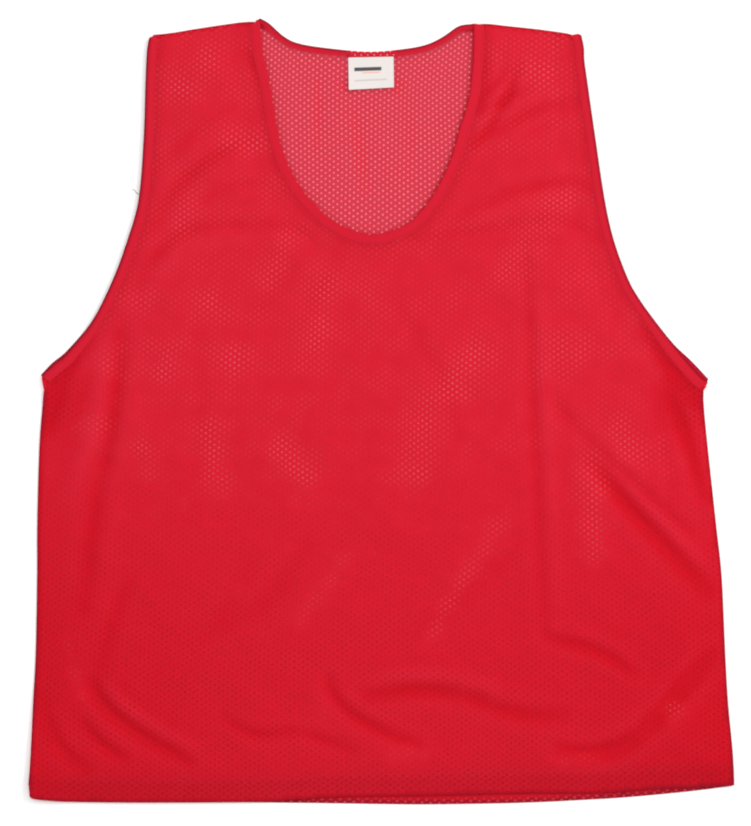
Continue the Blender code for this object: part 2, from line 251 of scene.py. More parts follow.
HEM = table(
    HemRow,
    (-277, -303.4, -303),
    (-275, -305.4, -305),
    (-262.1, -307.2, -306.8),
    (-240, -308.4, -308),
    (-184, -308.9, -308.5),
    (-100, -308.4, -308.9),
    (-64, -306.4, -309.2),
    (-40, -304.8, -309.5),
    (6.5, -303.7, -310.2),
    (40, -303.4, -310.4),
    (94, -302, -309.6),
    (126, -301.4, -308.6),
    (152, -301.6, -307.3),
    (183, -300.9, -305.6),
    (216, -298.4, -302.9),
    (250, -296.9, -299.4),
    (277, -295.8, -295.9),
)

CREASES = table(
    Crease,
    # The wearer's right chest and shoulder.
    (-190.2, 100.5, -161.8, 136.9, -114.4, 146.3, 5, 1.2),
    (-114.4, 146.3, -83.5, 146.3, -55.9, 140, 5, 1),
    (-185.5, 87.9, -153.9, 125.8, -103.3, 135.3, 6, -0.7),
    (-180.7, 141.6, -153.9, 181.1, -115.9, 204.8, 5.5, 1.3),
    (-174.4, 162.9, -142.8, 194.5, -103.3, 214.3, 4, 0.8),
    (-179.1, 189, -150.7, 216.7, -118.3, 240.4, 4, 0.7),
    (-141.2, 166.1, -119.1, 175.6, -95.4, 181.1, 4, 0.7),
    (-112.8, 290.1, -101.7, 275.9, -93.8, 253.8, 4, 1),
    # The left chest.
    (24.7, 135.3, 78.4, 142.4, 125.8, 149.5, 5, 1.1),
    (125.8, 149.5, 149.5, 147.9, 170.8, 135.3, 5, 1.1),
    (40.5, 124.2, 94.2, 132.1, 147.9, 136.9, 5, 0.6),
    # The left shoulder, with the small fan beside the neck.
    (56.3, 149.5, 102.1, 171.6, 141.6, 179.5, 5, 1.2),
    (141.6, 179.5, 157.4, 177.9, 168.5, 173.2, 5, 0.9),
    (73.7, 209.5, 111.6, 231.7, 158.9, 247.5, 4.5, 1.5),
    (72.5, 208, 87.9, 228.5, 104.5, 255, 3.5, 2.2),
    (77.6, 244.5, 88.7, 255.4, 99.7, 269, 3.5, 1.8),
    (93.4, 243.5, 102.1, 257.8, 109.2, 274, 3.5, 1.7),
    (78.4, 236.4, 95.8, 244.3, 114, 253.8, 3.5, 1.6),
    (112.4, 215.9, 133.7, 228.5, 155, 240.4, 4, 0.7),
    (112.4, 170.8, 138.4, 179.5, 162.9, 185.8, 4, 0.6),
    (78.4, 289.3, 81.6, 265.6, 79.2, 238, 5, 1.3),
    # The right side, from the armpit down.
    (-205, 70.5, -209.5, 8.9, -218.5, -40.1, 6, 1.8),
    (-218.5, -40.1, -228, -93.8, -235, -157, 7, 1.4),
    (-262.9, -14.8, -251.8, 27.8, -232.9, 54.7, 6, 2.4),
    (-258.1, 14.4, -262.1, 6.5, -264.5, -1.4, 3, 0.9),
    (-220.2, 48.4, -228.1, -6.9, -247.1, -70.1, 7, -1),
    (-196.5, -130.2, -212.3, -168.9, -223.4, -212.3, 6, 0.8),
    # The hem's right corner.
    (-269.2, -225, -256.6, -259.7, -234.4, -281.8, 5, 2),
    (-234.4, -247.1, -220.2, -262.9, -202.8, -273.9, 4, 1.9),
    (-228.1, -215.5, -204.4, -245.5, -152.3, -275.5, 5, 2.5),
    (-217.1, -213.9, -192.6, -239.2, -147.5, -266, 5, -0.8),
    # Above the middle of the hem.
    (-123.8, -240.8, -101.7, -254.2, -71.7, -252.6, 4.5, 1.3),
    (-71.7, -252.6, -46.4, -258.9, -22.7, -269.2, 4.5, 1.1),
    (-41.7, -212.3, -22.7, -239.2, 27.8, -262.9, 5, 1.8),
    (-11.7, -225.7, 31, -220.2, 76.8, -228.1, 6, 1.9),
    (76.8, -228.1, 106.1, -238.4, 143.2, -241.5, 6, 1.6),
    (-6.9, -214.7, 38.9, -209.2, 87.9, -217.8, 6, -0.7),
    # The hem's left corner.
    (141.6, -266.8, 181.1, -267.6, 214.3, -245.5, 6, 2.7),
    (214.3, -245.5, 238, -218.6, 260.1, -192.6, 6, 2.5),
    (132.1, -179.1, 166.9, -188.6, 198.5, -206.8, 5, 1.8),
    # The left waist.
    (163.7, -34.6, 204.8, -85.9, 256.9, -141.2, 7, 2.5),
    (135.3, 8.9, 181.1, -40.1, 242.7, -95.4, 5, 1.3),
    (152.7, -11.7, 201.6, -67, 252.2, -117.5, 5, -1),
    # The long upright fold down the left front.
    (114.5, 122, 119.6, 8.9, 128.2, -174.4, 5, 1.1),
    (124.8, 87.9, 130.9, -6.9, 139, -149.1, 7, -0.6),
    # The left armpit.
    (208.8, 64.2, 226.9, 35.7, 250.6, 8.9, 6, 2.9),
    (223.8, 21.5, 239.6, -19.6, 255.4, -68.5, 6, 2.4),
    (232.5, 43.6, 238.8, 37.3, 244.3, 30.2, 3, 0.9),
    (209.5, 31, 223, -14.8, 230.1, -70.1, 6, 0.7),
    # Faint fans in the middle and at the waist.
    (8.9, 91, 34.2, 48.4, 56.3, -0.6, 6, 0.45),
    (46.8, 31, 56.3, 1, 60.2, -16.4, 5, 0.4),
    (-28.2, 129, -49.6, 95.8, -67, 64.2, 6, 0.5),
    (-63.8, 117.9, -92.2, 87.9, -112.8, 54.7, 6, 0.4),
    (-60.6, -108, -85.9, -144.4, -120.7, -169.7, 8, 0.7),
    (-103.3, -117.5, -117.5, -149.1, -142.8, -182.3, 8, 0.6),
    (106.8, -101.7, 70.5, -141.2, 23.1, -177.6, 8, 0.7),
    (-144.4, 64.2, -142, -6.9, -149.1, -85.9, 7, 0.4),
)

# Soft upright waves of the single back layer, inside the neck.
BACK_CREASES = table(
    Crease,
    (-51, 262, -49, 235, -52, 206, 4.5, 0.45),
    (-22, 238, -17, 206, -12, 175, 6, 0.45),
    (15.2, 253.8, 23.1, 222.2, 19.2, 182.7, 7, 0.25),
    (-30, 262, -28.5, 256, -20, 252.5, 4, 0.45),
    (15.5, 262, 14.5, 256, 6, 252.5, 4, 0.35),
    (-72, 262, -74, 240, -72, 218, 5, -0.25),
)

WINDOWS = table(
    Window,
    (-158, 256, -158, 256, 10, 0.95),
    (-138, 277, -138, 277, 10, 1),
    (-107, 248, -107, 248, 9, 0.5),
    (-118, 214, -99, 210, 9, 0.8),
    (-152, 175, -159, 147, 9, 0.7),
    (-172, 209, -172, 209, 6, 0.5),
    (-86, 173, -86, 173, 7, 0.4),
    (-73, 138, -92, 102, 7, 0.75),
    (-136, 86, -136, 86, 10, 0.8),
    (-192, 86, -192, 86, 8, 0.6),
    (-171, 35, -171, 35, 10, 0.9),
    (-118, 40, -118, 40, 11, 0.9),
    (-216, 38, -216, 38, 7, 0.6),
    (-230, -8, -230, -8, 10, 0.9),
    (-188, -28, -182, -46, 7, 0.65),
    (-136, -16, -130, -50, 9, 0.8),
    (-80, -26, -59, -54, 9, 0.9),
    (-43, 100, -54, 52, 10, 0.8),
    (-15, 97, -7, 88, 8, 0.65),
    (77, 47, 53, 18, 11, 1),
    (37, 5, 25, -46, 12, 0.8),
    (142, 48, 142, 48, 15, 0.7),
    (164, -38, 167, -110, 9, 0.9),
    (189, -16, 200, -32, 10, 1),
    (221, -23, 224, -46, 6, 0.5),
    (142, 167, 100, 113, 10, 0.8),
    (150, 100, 165, 105, 7, 0.5),
    (118, 271, 129, 263, 10, 1),
    (91, 279, 91, 279, 6, 0.5),
    (135, 288, 135, 288, 7, 0.7),
    (-32, -122, -64, -165, 7, 0.6),
    (94, -90, 40, -174, 8, 0.65),
    (-111, -143, -111, -143, 7, 0.4),
    (-47, -238, -47, -238, 9, 0.6),
    (11, -272, 31, -272, 8, 0.6),
    (146, -272, 169, -272, 8, 0.6),
    (233, -236, 233, -236, 11, 0.9),
    (-246, -181, -238, -224, 7, 0.7),
)


# ---- Lines and areas in plan ----


def smooth_curve(points: Sequence[Sequence[float]], step: float) -> Array:
    """A Catmull-Rom curve through points, whose own ends stay.

    Args:
        points: The points, each with two or more values.
        step: The distance between the curve's points, in millimetres.

    Returns:
        The curve's points, a row each.
    """
    knots = np.array(points, float)
    ends = np.vstack([2 * knots[0] - knots[1], knots, 2 * knots[-1] - knots[-2]])
    share = np.linspace(0.0, 1.0, CURVE_PARTS, endpoint=False)[:, None]
    dense = []
    for a, b, c, d in zip(ends, ends[1:], ends[2:], ends[3:]):
        square = (2 * a - 5 * b + 4 * c - d) * share**2
        cube = (3 * b - a - 3 * c + d) * share**3
        dense.append(0.5 * (2 * b + (c - a) * share + square + cube))
    return evenly_spaced(np.vstack([*dense, knots[-1:]]), step)


def path_length(line: Array) -> Array:
    """How far along its line each point is, as seen from above."""
    return np.concatenate([[0.0], np.cumsum(np.linalg.norm(np.diff(line[:, :2], axis=0), axis=1))])


def evenly_spaced(line: Array, step: float, trim: float = 0.0) -> Array:
    """The same line with its points about one step apart, and a trim taken off both ends.

    Args:
        line: Its points.
        step: The length of a step.
        trim: What is taken off each end.

    Returns:
        The new points.
    """
    along = path_length(line)
    wanted = np.linspace(trim, along[-1] - trim, max(2, round((along[-1] - 2 * trim) / step) + 1))
    return np.column_stack([np.interp(wanted, along, line[:, k]) for k in range(line.shape[1])])


def to_left(line: Array) -> Array:
    """The unit direction to the left of a line, at each of its points.

    Args:
        line: Its points.

    Returns:
        Rows of x and y.
    """
    along = np.gradient(line[:, :2], axis=0)
    along /= np.linalg.norm(along, axis=1)[:, None]
    return np.column_stack([-along[:, 1], along[:, 0]])


def inset(line: Array, distance: Amount) -> Array:
    """The line moved to its left by a distance, which may differ from point to point."""
    return line[:, :2] + to_left(line) * np.broadcast_to(np.asarray(distance, float), len(line))[:, None]


def closed(line: Array) -> Array:
    """The line with its first point repeated at its end."""
    return np.vstack([line, line[:1]])


def distance_to_line(points: Array, line: Array) -> Array:
    """How far points are from a line.

    Args:
        points: The points in plan.
        line: The line's own points.

    Returns:
        The distance of each point from the nearest stretch of the line.
    """
    start, along = line[:-1], np.diff(line, axis=0)
    square = np.maximum((along**2).sum(1), 1e-9)
    found = []
    for first in range(0, len(points), AT_ONCE):
        from_start = points[first : first + AT_ONCE, None, :] - start
        share = np.clip((from_start * along).sum(2) / square, 0.0, 1.0)
        found.append(np.linalg.norm(from_start - share[:, :, None] * along, axis=2).min(axis=1))
    return np.concatenate(found)


def is_inside(points: Array, starts: Array, ends: Array) -> Array:
    """Which points lie inside closed outlines.

    Args:
        points: The points in plan.
        starts: The start of each of the outlines' edges.
        ends: The end of each of them.

    Returns:
        True for each point with an odd number of edges to its right.
    """
    rise = np.where(ends[:, 1] == starts[:, 1], 1.0, ends[:, 1] - starts[:, 1])
    found = []
    for first in range(0, len(points), AT_ONCE):
        x, y = np.hsplit(points[first : first + AT_ONCE], 2)
        spans = (starts[:, 1] > y) != (ends[:, 1] > y)
        crossing = starts[:, 0] + (y - starts[:, 1]) * (ends[:, 0] - starts[:, 0]) / rise
        found.append((spans & (x < crossing)).sum(axis=1) % 2 == 1)
    return np.concatenate(found)


def smooth_step(value: Array) -> Array:
    """0 to 1, level at both ends."""
    t = np.clip(value, 0.0, 1.0)
    return t * t * (3.0 - 2.0 * t)


class Waves:
    """Soft unevenness: a sum of plane waves of random direction and phase, about -1 to 1."""

    PEAK = 1.6  # how far the sum would go beyond 1 without it

    def __init__(self, seed: int, shortest: float, longest: float, count: int = 14) -> None:
        """Draws the waves.

        Args:
            seed: Sets the draw, so that it is the same each run.
            shortest: The shortest wave, in millimetres.
            longest: The longest one.
            count: How many waves there are.
        """
        rng = np.random.default_rng(seed)
        turn = rng.uniform(0.0, math.tau, count)
        length = np.exp(rng.uniform(math.log(shortest), math.log(longest), count))
        self.pull = np.column_stack([np.cos(turn), np.sin(turn)]) * (math.tau / length)[:, None]
        self.phase = rng.uniform(0.0, math.tau, count)
        self.scale = math.sqrt(2.0 / count) / self.PEAK

    def at(self, points: Array) -> Array:
        """The unevenness at each point."""
        return np.sin(points @ self.pull.T + self.phase).sum(axis=1) * self.scale


# ---- The garment in plan, and how it lies ----


@dataclass(frozen=True)
class Plan:
    """Where the bib's edges run, seen from above."""

    curve_step: float = 3.0
    under_tape: float = 2.2  # how far a panel's edge stops short of the tape's fold
    under_label: float = 5.6  # and short of the neckline above the label
    seam_roll: float = 0.55  # how far a side or shoulder seam stands out from the panels' edges
    hem_roll: float = 0.28
    label_left: float = 11.0  # where the neck tape stops beside the label
    label_right: float = -24.4

    def scoop(self) -> Array:
        """The front neckline, from the wearer's left shoulder round to the right one.

        Returns:
            Rows of x and y.
        """
        down = [(row.left, row.y) for row in SCOOP]
        up = [(row.right, row.y) for row in reversed(SCOOP)]
        return smooth_curve([*down, SCOOP_BOTTOM, *up], self.curve_step)

    def neckline(self) -> Array:
        """The back neckline, from the wearer's left to the right."""
        return smooth_curve(BACK_NECKLINE, self.curve_step / 2.0)

    def armhole(self, side: Side, layer: Layer) -> Array:
        """One armhole's finished edge, walked with the cloth on the left.

        Args:
            side: Which armhole.
            layer: The front's edge or the back's.

        Returns:
            The edge, going up on the wearer's left and down on the right.
        """
        rows = LEFT_ARMHOLE[::-1] if side is Side.LEFT else RIGHT_ARMHOLE
        curve = smooth_curve(rows, self.curve_step)
        return inset(curve, -curve[:, 2]) if layer is Layer.BACK else curve[:, :2]

    def hem(self, layer: Layer) -> Array:
        """One panel's lower edge, from the wearer's right to the left."""
        points = [(row.x, row.front if layer is Layer.FRONT else row.back) for row in HEM]
        return inset(smooth_curve(points, self.curve_step), self.hem_roll)

    def side(self, side: Side) -> Array:
        """One side seam: the wearer's left goes up, the right goes down."""
        down = [(row.left if side is Side.LEFT else row.right, row.y) for row in SIDES]
        return inset(smooth_curve(down[:: -side.value], self.curve_step), self.seam_roll)

    def shoulder(self, side: Side) -> Array:
        """One shoulder seam, walked with the cloth on the left."""
        points = LEFT_SHOULDER if side is Side.LEFT else RIGHT_SHOULDER
        return inset(smooth_curve(points, self.curve_step), self.seam_roll)

    def above_label(self, line: Array) -> Array:
        """Which points of the back neckline lie above the label."""
        return (line[:, 0] > self.label_right) & (line[:, 0] < self.label_left)

    def neck(self, layer: Layer) -> Array:
        """A panel's own edge at the neck, hidden in the tape except above the label.

        Args:
            layer: Which panel.

        Returns:
            Rows of x and y, from the left to the right.
        """
        if layer is Layer.FRONT:
            return inset(self.scoop(), self.under_tape)
        neckline = self.neckline()
        return inset(neckline, np.where(self.above_label(neckline), self.under_label, self.under_tape))

    def outline(self, layer: Layer) -> Array:
        """One panel's edge, counter-clockwise.

        Args:
            layer: Which panel.

        Returns:
            Rows of x and y, with the first not repeated.
        """
        return np.vstack([
            self.hem(layer),
            self.side(Side.LEFT),
            inset(self.armhole(Side.LEFT, layer), self.under_tape),
            self.shoulder(Side.LEFT),
            self.neck(layer),
            self.shoulder(Side.RIGHT),
            inset(self.armhole(Side.RIGHT, layer), self.under_tape),
            self.side(Side.RIGHT),
        ])


@dataclass(frozen=True)
class CreaseForm:
    """How a crease lies along and across its line. Distances across it are in its half-widths."""

    samples: int = 17
    reach: float = 4.0
    fade: Pair = (0.1, 0.8)  # where it starts on a half sine, and how much of it follows
    fade_power: float = 0.7
    shoulder: float = 0.22  # how far the cloth stands up beside a trough, as a share of its depth
    shoulder_at: float = 2.1


def crease_depth(points: Array, creases: Sequence[Crease], form: CreaseForm = CreaseForm()) -> Array:
    """How far creases lower a layer.

    Args:
        points: The points in plan.
        creases: The rows of creases.
        form: Their common form.

    Returns:
        The depth at each point, less where a trough's shoulders stand up.
    """
    total = np.zeros(len(points))
    share = np.linspace(0.0, 1.0, form.samples)[:, None]
    for crease in creases:
        start = np.array([crease.x0, crease.y0])
        middle = np.array([crease.x1, crease.y1])
        end = np.array([crease.x2, crease.y2])
        handle = 2.0 * middle - (start + end) / 2.0
        line = start * (1 - share) ** 2 + handle * 2 * share * (1 - share) + end * share**2
        reach = form.reach * crease.half_width
        near = np.all((points > line.min(axis=0) - reach) & (points < line.max(axis=0) + reach), axis=1)
        if not near.any():
            continue
        close = points[near]
        gaps = np.linalg.norm(close[:, None, :] - line, axis=2)
        nearest = gaps.argmin(axis=1)
        off = distance_to_line(close, line) / crease.half_width
        along = form.fade[0] + form.fade[1] * nearest / (form.samples - 1)
        fade = np.sin(math.pi * along) ** form.fade_power
        trough = np.exp(-(off**2)) - form.shoulder * np.exp(-((off - form.shoulder_at) ** 2))
        total[near] += crease.depth * fade * trough
    return total


@dataclass
class LaidCloth:
    """The heights of both layers above the surface, sampled on a grid."""

    plan: Plan
    back_base: float = 0.45
    front_base: float = 1.75  # at the sides and shoulders
    beside_tape: float = 2.98
    tape_reach: float = 14.0
    tape_run: float = 12.0
    in_hem: float = 2.7
    tape_width: float = 7.0
    puff: float = 2.2
    puff_from: float = 1.0
    puff_run: float = 34.0
    uneven_rise: float = 0.35
    crumple_rise: float = 0.10
    crease_near: float = 0.25  # a crease's share of its depth close to the edges
    crease_near_run: float = 6.0
    crease_far: float = 0.75  # and what the rise of the cloth adds to it
    follows: float = 0.75  # how much of the front's rise the back has too
    crease_follows: float = 0.6
    in_neck: float = 1.1
    neck_from: float = 4.0
    neck_run: float = 9.0
    bare_from: float = 2.0
    bare_run: float = 4.0
    rolled: float = 0.55  # how far the front comes down at a side or shoulder seam
    roll_run: float = 5.0
    hem_height: float = 16.5
    hem_run: float = 3.0
    stitch_dip: float = 0.35
    stitch_width: float = 1.1
    corner_lift: float = 3.2  # the wearer's right lower corner stands off the surface
    corner_from: float = -196.0
    corner_run: float = 95.0
    corner_reach: float = 42.0
    grid_step: float = 2.0
    grid_margin: float = 12.0
    uneven: Waves = field(default_factory=lambda: Waves(11, 26.0, 90.0))
    crumple: Waves = field(default_factory=lambda: Waves(23, 9.0, 26.0))

    def __post_init__(self) -> None:
        """Samples both heights once, because every piece asks for them."""
        outline = self.plan.outline(Layer.FRONT)
        self.low = outline.min(axis=0) - self.grid_margin
        high = outline.max(axis=0) + self.grid_margin
        self.shape = tuple(np.ceil((high - self.low) / self.grid_step).astype(int) + 1)
        x = self.low[0] + np.arange(self.shape[0]) * self.grid_step
        y = self.low[1] + np.arange(self.shape[1]) * self.grid_step
        grid = np.column_stack([np.repeat(x, len(y)), np.tile(y, len(x))])
        front, back = self._heights(grid)
        self.grids = {Layer.FRONT: front.reshape(self.shape), Layer.BACK: back.reshape(self.shape)}

    def crease(self, points: Array) -> Array:
        """How deep the front's creases are at each point."""
        return crease_depth(points, CREASES)

    def above_hem(self, points: Array, layer: Layer) -> Array:
        """How far each point is above its layer's lower edge."""
        edge = self.plan.hem(layer)
        return points[:, 1] - np.interp(points[:, 0], edge[:, 0], edge[:, 1])

    def _in_hem(self, points: Array, layer: Layer) -> Array:
        """1 in the turned-up hem, 0 above it."""
        rise = self.above_hem(points, layer) - self.hem_height
        return 1.0 - smooth_step((rise + self.hem_run / 2.0) / self.hem_run)

    def _lifted_corner(self, points: Array) -> Array:
        """How far the wearer's right lower corner stands off the surface.

        Args:
            points: Rows of x and y.

        Returns:
            A height for each point.
        """
        edge = self.plan.side(Side.RIGHT)[::-1]
        from_side = points[:, 0] - np.interp(points[:, 1], edge[:, 1], edge[:, 0])
        down = smooth_step((self.corner_from - points[:, 1]) / self.corner_run)
        return self.corner_lift * down * (1.0 - smooth_step(from_side / self.corner_reach))

    def _heights(self, points: Array) -> tuple[Array, Array]:
        """Works both layers' heights out from the edges and the creases.

        Args:
            points: The points in plan.

        Returns:
            The front's height and the back's at each point.
        """
        bound = [self.plan.armhole(side, Layer.FRONT) for side in Side]
        sewn = [self.plan.side(side) for side in Side] + [self.plan.shoulder(side) for side in Side]
        to_armhole = np.min([distance_to_line(points, line[::2]) for line in bound], axis=0)
        to_seam = np.min([distance_to_line(points, line[::2]) for line in sewn], axis=0)
        scoop = self.plan.scoop()
        around = closed(scoop)
        to_scoop = distance_to_line(points, scoop)
        into_neck = np.where(is_inside(points, around[:-1], around[1:]), to_scoop, -to_scoop)
        to_tape = np.minimum(to_armhole, to_scoop)

        by_tape = 1.0 - smooth_step((to_tape - self.tape_reach) / self.tape_run)
        hem = np.maximum(self._in_hem(points, Layer.FRONT), self._in_hem(points, Layer.BACK))
        base = self.front_base + np.maximum(
            (self.beside_tape - self.front_base) * by_tape, (self.in_hem - self.front_base) * hem
        )
        base -= self.rolled * (1.0 - smooth_step(to_seam / self.roll_run))
        to_hem = np.maximum(self.above_hem(points, Layer.FRONT), 0.0)
        inward = np.minimum(np.minimum(to_tape - self.tape_width, to_seam), to_hem)
        rise = smooth_step((inward - self.puff_from) / self.puff_run)
        uneven = self.uneven_rise * self.uneven.at(points)
        lift = (self.puff + uneven + self.crumple_rise * self.crumple.at(points)) * rise
        close_by = self.crease_near * smooth_step(inward / self.crease_near_run)
        dip = self.crease(points) * (close_by + self.crease_far * rise)
        seam = self.above_hem(points, Layer.FRONT) - self.hem_height
        stitched = self.stitch_dip * np.exp(-((seam / self.stitch_width) ** 2))
        corner = self._lifted_corner(points)
        front = base + lift - dip - stitched + corner

        under = self.back_base + self.follows * (lift - self.crease_follows * dip)
        open_share = smooth_step((into_neck + self.neck_from) / self.neck_run)
        bare = self.in_neck - crease_depth(points, BACK_CREASES)
        back = under * (1.0 - open_share) + bare * open_share + corner
        return front, np.maximum(back, self.back_base)

    def in_scoop(self, points: Array) -> Array:
        """1 inside the front's neckline, where the back lies bare, and 0 outside it.

        Args:
            points: Rows of x and y.

        Returns:
            A number for each point.
        """
        scoop = self.plan.scoop()
        around = closed(scoop)
        away = distance_to_line(points, scoop[::2])
        inside = is_inside(points, around[:-1], around[1:])
        return smooth_step((np.where(inside, away, -away) + self.bare_from) / self.bare_run)

    def height(self, layer: Layer, points: Array) -> Array:
        """One layer's height at each point, from its grid.

        Args:
            layer: Which layer.
            points: Rows of x and y.

        Returns:
            A height for each point.
        """
        place = (points - self.low) / self.grid_step
        cell = np.clip(np.floor(place).astype(int), 0, np.array(self.shape) - 2)
        i, j = cell.T
        u, v = (place - cell).T
        grid = self.grids[layer]
        below = grid[i, j] * (1 - u) + grid[i + 1, j] * u
        above = grid[i, j + 1] * (1 - u) + grid[i + 1, j + 1] * u
        return below * (1 - v) + above * v


@dataclass(frozen=True)
class Lattice:
    """The staggered holes of the knitted mesh. Every second column is moved up by half a pitch."""

    column: float = 3.26
    pitch: float = 4.44
    hole: float = 0.48
    uneven_hole: float = 0.07
    lean: float = math.radians(-1.0)
    fan: float = 0.00012  # how much wider the columns grow for each millimetre down
    fan_from: float = 200.0
    slack: float = 0.04  # how much longer the pitch is below the chest
    slack_from: float = 120.0
    slack_run: float = 60.0
    wander: float = 1.3
    apart: float = 2.25  # between a front hole and the back's nearest, away from the windows
    drift: float = 0.45
    drift_along: float = 1.4  # how much more the holes drift along a column than across
    window_reach: float = 1.45
    corrections: int = 7
    slip: Pair = (0.0, 0.0)  # moves the whole lattice, for a turned-up layer
    wanders: tuple[Waves, Waves] = (Waves(5, 90.0, 220.0), Waves(6, 90.0, 220.0))
    drifts: tuple[Waves, Waves] = (Waves(7, 35.0, 110.0), Waves(8, 35.0, 110.0))

    def windows(self, points: Array) -> Array:
        """How nearly the two layers' holes meet: 1 in the middle of a window, 0 away from them.

        Args:
            points: Rows of x and y.

        Returns:
            A number for each point.
        """
        open_share = np.zeros(len(points))
        for window in WINDOWS:
            ends = np.array([(window.x0, window.y0), (window.x1 + 0.01, window.y1)])  # never without length
            gap = distance_to_line(points, ends) / (self.window_reach * window.radius)
            open_share = np.maximum(open_share, window.strength * np.exp(-(gap**2)))
        return open_share

    def offset(self, points: Array, layer: Layer) -> Array:
        """How far one layer's holes are moved, so that the layers' holes meet only in the windows.

        Args:
            points: Points in plan.
            layer: The front moves one way and the back the other.

        Returns:
            The move at each point.
        """
        apart = 1.0 - self.windows(points)
        move = np.column_stack([
            (self.apart + self.drift * self.drifts[0].at(points)) * apart,
            self.drift * self.drift_along * self.drifts[1].at(points) * apart,
        ])
        return move * (0.5 if layer is Layer.FRONT else -0.5)

    def spread(self, flat: Array, layer: Layer) -> Array:
        """Lays the even lattice out on the bib.

        Args:
            flat: Points of the even lattice, in millimetres.
            layer: The layer that they belong to.

        Returns:
            Their places in plan.
        """
        x = flat[:, 0] * (1.0 + self.fan * np.maximum(self.fan_from - flat[:, 1], 0.0))
        low = np.maximum(self.slack_from - flat[:, 1], 0.0)
        eased = self.slack * self.slack_run * (1.0 - np.exp(-low / self.slack_run))
        y = flat[:, 1] - self.slack * low + eased
        turned = np.column_stack([
            x * math.cos(self.lean) - y * math.sin(self.lean),
            x * math.sin(self.lean) + y * math.cos(self.lean),
        ])
        wander = np.column_stack([wave.at(turned) for wave in self.wanders]) * self.wander
        return turned + wander + self.offset(turned, layer) + np.array(self.slip)

    def flatten(self, points: Array, layer: Layer) -> Array:
        """The even lattice's points that lie at the given places, found by a few corrections.

        Args:
            points: Places on the laid-out cloth.
            layer: Which layer.

        Returns:
            Places on the even lattice.
        """
        flat = points.copy()
        for _ in range(self.corrections):
            flat += points - self.spread(flat, layer)
        return flat


@dataclass
class Shape:
    """A mesh being gathered: its points in millimetres, their places in the cloth's maps, and its faces."""

    points: list[Array] = field(default_factory=list)
    maps: list[Array] = field(default_factory=list)
    tones: list[Array] = field(default_factory=list)
    faces: list[Array] = field(default_factory=list)
    count: int = 0

    def add(
        self,
        points: Array,
        maps: Array,
        faces: Sequence[Array],
        tones: Union[Array, Pair] = (0.0, 0.0),
    ) -> int:
        """Adds points and the faces between them.

        Args:
            points: Rows of x, y and z.
            maps: Rows of u and v.
            faces: Arrays of rows of indices into these points.
            tones: Rows of the cloth's second map: the painted light and painted shade at the holes' rims, and
                how bare or close the layer lies, with its painted glow and painted shade.

        Returns:
            The first new point's index.
        """
        first = self.count
        self.points.append(points)
        self.maps.append(maps)
        self.tones.append(np.broadcast_to(tones, (len(points), 2)))
        self.faces += [rows + first for rows in faces if len(rows)]
        self.count += len(points)
        return first

    def add_strip(
        self,
        rows: Array,
        maps: Array,
        round_shut: bool = False,
        caps: bool = False,
        tones: Union[Array, Pair] = (0.0, 0.0),
    ) -> None:
        """Adds a strip of four-sided faces through rows of points.

        Args:
            rows: Stations by points by x, y and z.
            maps: Stations by points by u and v.
            round_shut: Joins each row's last point to its first.
            caps: Closes both ends with a face.
            tones: The second map, as in add.
        """
        stations, across = rows.shape[:2]
        index = np.arange(stations * across).reshape(stations, across)
        after = np.roll(index, -1, axis=1) if round_shut else index[:, 1:]
        here = index if round_shut else index[:, :-1]
        quads = np.stack([here[:-1], after[:-1], after[1:], here[1:]], axis=-1).reshape(-1, 4)
        faces = [quads]
        if caps:
            faces += [index[:1, ::-1], index[-1:]]
        self.add(rows.reshape(-1, 3), maps.reshape(-1, 2), faces, tones)

    def add_thread(self, middle: Array, across: Array, along: Array, radius: Amount, sides: int) -> None:
        """Adds a length of thread, closed at both ends.

        Args:
            middle: Its middle line.
            across: The level direction across it, once or at each point.
            along: How far along each point is, for its map.
            radius: Its radius, once or at each point.
            sides: How many sides it has.
        """
        turn = np.arange(sides) / sides
        rings = np.cos(math.tau * turn)[None, :, None] * np.broadcast_to(across, middle.shape)[:, None, :]
        rings = rings + np.sin(math.tau * turn)[None, :, None] * UP
        rows = middle[:, None, :] + rings * np.broadcast_to(radius, len(middle))[:, None, None]
        maps = np.stack(np.broadcast_arrays(along[:, None], turn[None, :]), axis=-1)
        self.add_strip(rows, maps, round_shut=True, caps=True)

    def make(self, name: str, material: Material) -> Piece:
        """Makes the object, which rides with the bib.

        Args:
            name: The piece's name.
            material: Its finish.

        Returns:
            The new object.
        """
        mesh = bpy.data.meshes.new(name)
        faces = [row for rows in self.faces for row in rows.tolist()]
        mesh.from_pydata((np.vstack(self.points) * MM).tolist(), [], faces)
        corner = np.empty(len(mesh.loops), np.int32)
        mesh.loops.foreach_get("vertex_index", corner)
        for label, rows in ((KNIT_MAP, self.maps), (LIGHT_SHADE_MAP, self.tones)):
            layer = mesh.uv_layers.new(name=label)
            layer.data.foreach_set("uv", np.vstack(rows)[corner].astype(np.float32).ravel())
        mesh.shade_smooth()
        mesh.materials.append(material)
        piece = bpy.data.objects.new(name, mesh)
        bpy.context.scene.collection.objects.link(piece)
        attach(piece, ROOT)
        LOG.info("%s: %d points, %d faces", name, len(mesh.vertices), len(mesh.polygons))
        return piece


# ---- Materials ----


